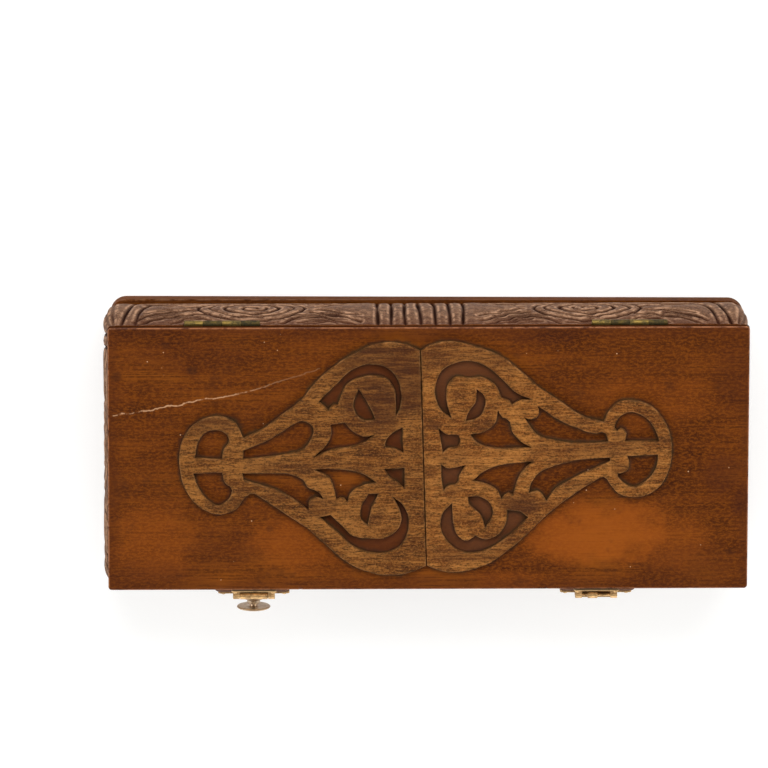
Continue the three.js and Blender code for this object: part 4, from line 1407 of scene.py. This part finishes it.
def make_walls():
    carved = carved_finish()
    bare = plain_panel_finish("inner_wood", 17.0, paint(84, 46, 24), paint(112, 66, 36), paint(132, 82, 46))
    half_length = RIGHT_X - BODY_X - WALL_BULGE
    half_depth = REAR_HIGH[1] - WALL_BULGE
    rear_carving = (CARVING_X, long_wall_cuts())
    front_carving = (0.0, long_wall_cuts())
    short_carving = (0.0, short_wall_cuts())
    catch_places = [-(c + math.copysign(PAD_SHIFT, c) - BODY_X) for c in CATCH_CENTRES]
    plans = [
        ("rear_wall", half_length, half_depth, 0.0, rear_carving, []),
        ("front_wall", half_length, half_depth, math.pi, front_carving, catch_places),
        ("left_wall", half_depth, half_length, math.pi / 2, short_carving, []),
        ("right_wall", half_depth, half_length, -math.pi / 2, short_carving, []),
    ]
    for name, length, depth, turn, carving, pads in plans:
        piece = make_wall(name, length, depth, turn, carving, pads, carved, bare)
        if name == "rear_wall":
            combine(piece, [tool for c in HINGE_CENTRES for tool in seat_tools(c, -1)], "DIFFERENCE")
        paint_inside(piece, Vector((-math.sin(turn), math.cos(turn), 0)))
        smooth(piece, 50)
        stands_for(piece, "box", "carved_wood", name)


# ---- hinges ----

SCREW_SPACING = 15.0
SCREW_Y = 43.3
SCREW_HEAD = 1.3
PIN_RADIUS = 0.45
BORE_RADIUS = PIN_RADIUS + 0.06
KNUCKLE_GAP = 0.16
LEAF_CORNER = 0.9


def pin(owner, body, half, place, brass):
    """A straight pin along X about a place, with softened ends."""
    tip = PIN_RADIUS * 0.7
    profile = [(0, -half), (tip, -half), (PIN_RADIUS, -half + 0.15)]
    profile += [(PIN_RADIUS, half - 0.15), (tip, half), (0, half)]
    piece = turned(f"{owner}_steel_pin", profile, place, ALONG_X, brass, sides=24)
    smooth(piece)
    stands_for(piece, body, "brass", f"{owner}_pin")


def hinge_leaf(side_name, centre, side, brass):
    """A leaf with every second knuckle, rolled round the pin. side is 1 on the lid, -1 on the wall."""
    where = "lid" if side > 0 else "wall"
    left, right = centre - HINGE_LENGTH / 2, centre + HINGE_LENGTH / 2
    z = LID_LOW[2] if side > 0 else WALL_TOP - LEAF_THICKNESS
    outline = arc(left + LEAF_CORNER, LEAF_FRONT + LEAF_CORNER, LEAF_CORNER, 180, 270, 6)
    outline += arc(right - LEAF_CORNER, LEAF_FRONT + LEAF_CORNER, LEAF_CORNER, 270, 360, 6)
    outline += [(right, HINGE_Y), (left, HINGE_Y)]
    name = f"hinge_{side_name}_{where}_leaf"
    leaf = extrude(f"{name}_rolled", outline, ("z", LEAF_THICKNESS), (0, 0, z), brass)
    pitch = HINGE_LENGTH / HINGE_KNUCKLES
    clear, own = [], []
    for i in range(HINGE_KNUCKLES):
        x0 = left + i * pitch + KNUCKLE_GAP / 2
        x1 = left + (i + 1) * pitch - KNUCKLE_GAP / 2
        if (i % 2 == 0) == (side > 0):
            own.append(bar("knuckle", KNUCKLE_RADIUS, x0, x1, HINGE_Y, HINGE_Z))
        else:
            x0, x1 = x0 - KNUCKLE_GAP, x1 + KNUCKLE_GAP
            clear.append(bar("clear", KNUCKLE_RADIUS + CLEARANCE, x0, x1, HINGE_Y, HINGE_Z))
    combine(leaf, clear, "DIFFERENCE")
    combine(leaf, own, "UNION")
    bores = [bar("bore", BORE_RADIUS, left - 1, right + 1, HINGE_Y, HINGE_Z, sides=24)]
    face = LID_LOW[2] if side > 0 else WALL_TOP
    for x in (centre - SCREW_SPACING / 2, centre + SCREW_SPACING / 2):
        wide = SCREW_HEAD + 0.15
        profile = [(0, -1), (wide, -1), (wide, 0.1), (0.7, 0.75), (0.7, 3), (0, 3)]
        bores.append(turned("sink", profile, (x, SCREW_Y, face), (0, 0, side), sides=24))
    combine(leaf, bores, "DIFFERENCE")
    bevel(leaf, 0.09)
    smooth(leaf)
    stands_for(leaf, "lid" if side > 0 else "box", "brass", name)


def slotted_screw(node, place, side, body, turn, brass):
    """A countersunk screw whose slotted head lies flush in its leaf. Those in the lid are short."""
    length = 2.4 if side > 0 else 7.0
    profile = [(0, 0.02), (SCREW_HEAD * 0.8, 0.04), (SCREW_HEAD, 0.12), (0.6, 0.75)]
    along = 0.9
    while along < length - 0.9:
        profile += [(0.62, along), (0.45, along + 0.2), (0.62, along + 0.4)]
        along += 0.5
    profile += [(0.5, length - 0.8), (0, length)]
    screw = turned(f"{node}_slotted", profile, place, (0, 0, side), brass, sides=28)
    reach = SCREW_HEAD + 0.5
    slot = block("slot", (-reach, -0.17, -0.3), (reach, 0.17, 0.34))
    slot.rotation_euler = (0, 0, turn)
    slot.location = Vector(place) * MM
    combine(screw, [slot], "DIFFERENCE")
    smooth(screw)
    stands_for(screw, body, "brass", node)


def make_hinges(lid_brass, shaded_wall_brass):
    draw = random.Random("screws")
    halves = [(1, "lid", "lid", LID_LOW[2], lid_brass), (-1, "wall", "box", WALL_TOP, shaded_wall_brass)]
    for side_name, centre in zip(SIDES, HINGE_CENTRES):
        for side, where, body, face, brass in halves:
            hinge_leaf(side_name, centre, side, brass)
            for i, end in ((1, -1), (2, 1)):
                node = f"hinge_{side_name}_{where}_screw_{i}"
                place = (centre + end * SCREW_SPACING / 2, SCREW_Y, face)
                slotted_screw(node, place, side, body, draw.uniform(0, math.pi), brass)
        pin(f"hinge_{side_name}", "box", HINGE_LENGTH / 2, (centre, HINGE_Y, HINGE_Z), shaded_wall_brass)


# ---- catches ----

LID_FRONT = LID_LOW[1]
CATCH_Y = middle("catch_left_pin", 1)
CATCH_Z = middle("catch_left_pin", 2)
CATCH_LEAF_HALF = size("catch_left_leaf", 0) / 2
CATCH_LEAF_TOP = span("catch_left_leaf")[1][2]
CATCH_LEAF_HEIGHT = 3.1
CATCH_LEAF_CORNER = 0.8
CATCH_LEAF_THICKNESS = 0.8
CATCH_KNUCKLE = 1.1
CENTRE_KNUCKLE = 9.4
OUTER_KNUCKLE = 2.3
CATCH_GAP = 0.2
HASP_THICKNESS = 0.8
RIVET_HOLE = 1.05
PLATE_THICKNESS = 0.7
PLATE_CORNER = 0.6
NAIL_HEIGHT = 0.8
_, HASP_FRONT, HASP_BOTTOM = span("catch_right_hasp")[0]
HASP_WIDTH = size("catch_right_hasp", 0)
KNOB_FRONT = span("catch_left_knob")[0][1]
RIVET_Z = middle("catch_left_knob", 2)


def catch_leaf(side_name, centre, brass):
    """The plate on the lid's front edge, with the two outer knuckles."""
    half = CATCH_LEAF_HALF
    corner = CATCH_LEAF_CORNER
    z0, z1 = CATCH_LEAF_TOP - CATCH_LEAF_HEIGHT, CATCH_LEAF_TOP
    outline = [(centre - half, z0), (centre + half, z0)]
    outline += arc(centre + half - corner, z1 - corner, corner, 0, 90, 6)
    outline += arc(centre - half + corner, z1 - corner, corner, 90, 180, 6)
    forward = ("y", -CATCH_LEAF_THICKNESS)
    leaf = extrude(f"catch_{side_name}_edge_leaf", outline, forward, (0, LID_FRONT, 0), brass)
    parts = []
    inner = CENTRE_KNUCKLE / 2 + CATCH_GAP
    for sign in (-1, 1):
        x0, x1 = sorted((centre + sign * inner, centre + sign * (inner + OUTER_KNUCKLE)))
        parts.append(block("web", (x0, CATCH_Y, z0), (x1, LID_FRONT - 0.2, z0 + 0.9)))
        parts.append(bar("knuckle", CATCH_KNUCKLE, x0, x1, CATCH_Y, CATCH_Z))
    combine(leaf, parts, "UNION")
    bore = bar("bore", BORE_RADIUS, centre - half, centre + half, CATCH_Y, CATCH_Z, sides=24)
    combine(leaf, [bore], "DIFFERENCE")
    bevel(leaf, 0.22, 3)
    smooth(leaf)
    stands_for(leaf, "lid", "brass", f"catch_{side_name}_leaf")


def hasp(side_name, centre, roll, brass):
    """The tongue that hangs from the pin by its roll, which spans two places along X. Its end is round."""
    half = HASP_WIDTH / 2
    low = HASP_BOTTOM + half
    outline = [(centre + half, CATCH_Z), (centre - half, CATCH_Z)]
    outline += arc(centre, low, half, 180, 360, 40)
    name = f"catch_{side_name}_hasp"
    tongue = extrude(f"{name}_tongue", outline, ("y", HASP_THICKNESS), (0, HASP_FRONT, 0), brass)
    notch = CATCH_KNUCKLE + 0.25
    cuts = []
    for x0, x1 in ((-half - 1, roll[0]), (roll[1], half + 1)):
        low_corner = (centre + x0, CATCH_Y - 4, CATCH_Z - notch)
        cuts.append(block("shoulder", low_corner, (centre + x1, CATCH_Y + 4, CATCH_Z + 3)))
    # A shallow stamped line follows the tongue's edge.
    radius = half - 1.5
    ring = arc(centre, low, radius, 180, 360, 40)
    ring += [(centre + radius, CATCH_Z - 3.2), (centre - radius, CATCH_Z - 3.2)]
    ring.reverse()
    cuts.append(wire("stamp", [Vector((x, 0, z)) for x, z in ring], 0.16, HASP_FRONT))
    combine(tongue, cuts, "DIFFERENCE")
    barrel = bar("roll", CATCH_KNUCKLE, centre + roll[0], centre + roll[1], CATCH_Y, CATCH_Z)
    combine(tongue, [barrel], "UNION")
    bore = bar("bore", BORE_RADIUS, centre - half, centre + half, CATCH_Y, CATCH_Z, sides=24)
    hole = [(0, -1), (RIVET_HOLE, -1), (RIVET_HOLE, 5), (0, 5)]
    rivet = turned("rivet", hole, (centre, HASP_FRONT + 2, RIVET_Z), FORWARD)
    combine(tongue, [bore, rivet], "DIFFERENCE")
    bevel(tongue, 0.12)
    smooth(tongue)
    stands_for(tongue, f"hasp_{side_name}", "brass", name)


def wire(name, line, radius, y):
    """A closed four-sided ring along a line in X and Z at the depth y, for cutting a groove."""
    count = len(line)
    points = []
    for i in range(count):
        along = (line[(i + 1) % count] - line[i - 1]).normalized()
        out = Vector((along.z, 0, -along.x))
        for angle in map(math.radians, (0, 90, 180, 270)):
            sideways = out * (radius * math.cos(angle))
            points.append(line[i] + sideways + Vector((0, y + radius * math.sin(angle), 0)))
    faces = sweep_faces(4, count)
    last = (count - 1) * 4
    faces += [(last + i, last + (i + 1) % 4, (i + 1) % 4, i) for i in range(4)]
    return face_outward(new_object(name, points, faces))


def round_nail(node, place, body, brass):
    """A small domed nail whose head lies on its plate."""
    head, height, length = 1.0, NAIL_HEIGHT, 6.0
    rim = 0.12
    profile = [(0, -length), (0.42, 1 - length), (0.42, 0), (head * 0.92, 0), (head, rim)]
    for angle in map(math.radians, (15, 32, 50, 68)):
        profile.append((head * math.cos(angle), rim + (height - rim) * math.sin(angle)))
    profile.append((0, height))
    nail = turned(f"{node}_domed", profile, place, FORWARD, brass, sides=28)
    smooth(nail, 50)
    stands_for(nail, body, "brass", node)


def keeper_plate(side_name, centre, brass):
    """The plate on the pad: three scallops below, and a small boss that the hasp snaps over."""
    name = f"catch_{side_name}_keeper"
    (_, _, bottom), (_, back, top) = span(name)
    half = size(name, 0) / 2
    lobe = half / 3
    outline = [(centre + half, top - PLATE_CORNER), (centre + half - PLATE_CORNER, top)]
    outline += [(centre - half + PLATE_CORNER, top), (centre - half, top - PLATE_CORNER)]
    outline.append((centre - half, bottom + lobe))
    for i in (-1, 0, 1):
        outline += arc(centre + 2 * lobe * i, bottom + lobe, lobe, 180, 360, 18)[1:]
    plate = extrude(f"{name}_plate", outline, ("y", -PLATE_THICKNESS), (0, back, 0), brass)
    boss = [(0, 0), (1.5, 0), (1.45, 0.12), (1.1, 0.22), (0.5, 0.28), (0, 0.29)]
    tool = turned("boss", boss, (centre, back - PLATE_THICKNESS + 0.02, bottom + 4), FORWARD, sides=32)
    combine(plate, [tool], "UNION")
    bevel(plate, 0.14)
    smooth(plate)
    stands_for(plate, "box", "brass", name)


def pull_knob(metal):
    """The turned knob: rivet, collar, neck and a thin, slightly dished disc."""
    reach = HASP_FRONT - KNOB_FRONT
    disc = size("catch_left_knob", 0) / 2
    rivet = [(0, -HASP_THICKNESS - 0.3), (1, -HASP_THICKNESS - 0.3), (1, 0.05)]
    collar = [
        (3.2, 0.05), (3.3, 0.2), (3.3, 0.7), (3.6, 0.85), (4.0, 0.95), (4.1, 1.1),
        (4.1, 1.75), (3.95, 1.95), (3.2, 2.1), (2.6, 2.3), (2.3, 2.7),
    ]
    # From here on each point is given by how far it lies behind the disc's front.
    neck = [(2.2, 2.0), (1.6, 1.8), (1.35, 1.6), (1.35, 1.0), (1.8, 0.85), (3.4, 0.85)]
    rim = [(disc - 0.9, 0.95), (disc - 0.2, 0.9), (disc, 0.7)]
    rim += [(disc, 0.55), (disc - 0.25, 0.3), (disc - 0.8, 0.22)]
    face = [(disc - 1.0, 0.35), (disc - 2.4, 0.36), (1.6, 0.3), (1.3, 0.1), (0.6, 0), (0, 0)]
    profile = rivet + collar + [(radius, reach - behind) for radius, behind in neck + rim + face]
    place = (CATCH_CENTRES[0], HASP_FRONT, RIVET_Z)
    knob = turned("catch_left_turned_knob", profile, place, FORWARD, metal, sides=72)
    smooth(knob, 30)
    stands_for(knob, "hasp_left", "knob_metal", "catch_left_knob")


def rivet_stub(metal):
    """What is left where the right knob broke off: a burred, uneven rivet head."""
    profile = [(0, -1.2), (1, -1.2), (1, 0.05), (1.5, 0.05), (1.6, 0.3), (1.35, 0.7), (1.1, 0.85)]
    profile += [(0.8, 0.7), (0.5, 0.95), (0, 0.9)]
    place = (CATCH_CENTRES[1], HASP_FRONT, RIVET_Z)
    stub = turned("catch_right_rivet_stub", profile, place, FORWARD, metal)
    points = vertex_points(stub)
    burr = 0.08 * wander(points[:, 0] * 3 + points[:, 2] * 4, 2.0, "burr")
    for vertex, shift in zip(stub.data.vertices, burr):
        if vertex.co.y / MM < HASP_FRONT - 0.2:
            vertex.co.y += shift * MM
    smooth(stub, 40)
    stands_for(stub, "hasp_right", "knob_metal", "catch_right_rivet")


# The left hasp's roll is whole. Most of the right one's has broken away.
ROLLS = {"left": (-CENTRE_KNUCKLE / 2, CENTRE_KNUCKLE / 2), "right": (-2.9, 0.4)}


def make_catches(brass, leaf_brass, metal):
    pin_half = CENTRE_KNUCKLE / 2 + CATCH_GAP + OUTER_KNUCKLE
    for side_name, centre in zip(SIDES, CATCH_CENTRES):
        catch_leaf(side_name, centre, leaf_brass)
        pin(f"catch_{side_name}", "lid", pin_half, (centre, CATCH_Y, CATCH_Z), brass)
        hasp(side_name, centre, ROLLS[side_name], brass)
        keeper_plate(side_name, centre, brass)
        for kind, body in (("leaf", "lid"), ("keeper", "box")):
            for i in (1, 2):
                node = f"catch_{side_name}_{kind}_nail_{i}"
                place = (middle(node, 0), span(node)[0][1] + NAIL_HEIGHT, middle(node, 2))
                round_nail(node, place, body, brass)
    pull_knob(metal)
    rivet_stub(metal)


# ---- putting it together ----


def finish_base():
    """The CAD base board keeps its shape, with rounded edges and stained wood."""
    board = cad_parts["base_board"]
    board.data.materials.clear()
    board.data.materials.append(plain_panel_finish(
        "base_stained_wood", 8.0, paint(56, 25, 7), paint(80, 42, 13), paint(100, 55, 20), span("base_board"),
    ))
    add_bevel(board, 0.6, 3, 40)


# The radius of the felt's soft edge, how far its face rises and falls, and the spacing of its points.
FELT_EDGE = 0.9
FELT_UNEVEN = 0.07
FELT_STEP = 1.5


def make_lining():
    """Felt on card: a thin panel with a soft edge and a slightly uneven pile."""
    low, high = span("floor_lining")
    xs, ys = [
        graded_lines(low[axis], high[axis], low[axis] + 2, high[axis] - 2, FELT_STEP, FELT_STEP)
        for axis in (0, 1)
    ]
    x, y = [part.ravel() for part in np.meshgrid(xs, ys)]
    centre = (low + high) / 2
    half = (high - low) / 2
    edge = np.minimum(half[0] - np.abs(x - centre[0]), half[1] - np.abs(y - centre[1]))
    reach = np.clip(FELT_EDGE - edge, 0, FELT_EDGE)
    drop = FELT_EDGE - np.sqrt(FELT_EDGE ** 2 - reach ** 2)
    pile = FELT_UNEVEN * (wander(x + y, 14, "pile") + wander(x - 1.3 * y, 9, "nap"))
    z = high[2] - drop + pile * (edge > FELT_STEP)
    panel = close_slab("felt_lining", np.column_stack([x, y, z]), len(xs), len(ys), low[2], felt_finish())
    smooth(panel, 60)
    stands_for(panel, "box", "felt", "floor_lining")


make_camera()
make_studio()
make_floor()
FRET_LOOPS = {
    side: [
        sawn_line(loop, f"{side}{i}") + (shift, 0)
        for i, loop in enumerate(top_loops(f"fretwork_{side}"))
    ]
    for side, shift in (("left", SEAM_SHIFT), ("right", -SEAM_SHIFT))
}
make_lid(lid_finish())
make_fretwork("left", FRET_LOOPS["left"], fretwork_finish(
    "fretwork_wood_left", 2.0, paint(67, 34, 13), paint(102, 60, 24), paint(141, 91, 42),
    paint(47, 28, 9), LEFT_STAINS,
))
make_fretwork("right", FRET_LOOPS["right"], fretwork_finish(
    "fretwork_wood_right", 6.0, paint(82, 42, 16), paint(114, 67, 27), paint(154, 100, 47),
    paint(58, 35, 11), RIGHT_STAINS,
))
make_walls()
make_lining()
finish_base()
make_hinges(
    brass_finish("lid_hinge_brass", paint(128, 106, 54), paint(66, 56, 26), 0.6, 0.45),
    # The wall leaves and the pins get a darker copy of the lid leaves' brass, as painted shade.
    brass_finish("wall_hinge_brass_shaded", paint(92, 76, 38), paint(46, 40, 18), 0.7, 0.5),
)
make_catches(
    brass_finish("catch_brass", paint(206, 166, 112), paint(112, 82, 46), 0.5, 0.42, 0.7),
    # The catch leaves' brass is darkened at its back with painted shade, under the lid's edge.
    brass_finish("leaf_brass", paint(206, 168, 116), paint(120, 90, 52), 0.4, 0.45, 0.6, LID_FRONT - 0.35),
    brass_finish("knob_nickel", paint(206, 186, 160), paint(130, 108, 84), 0.3, 0.3),
)
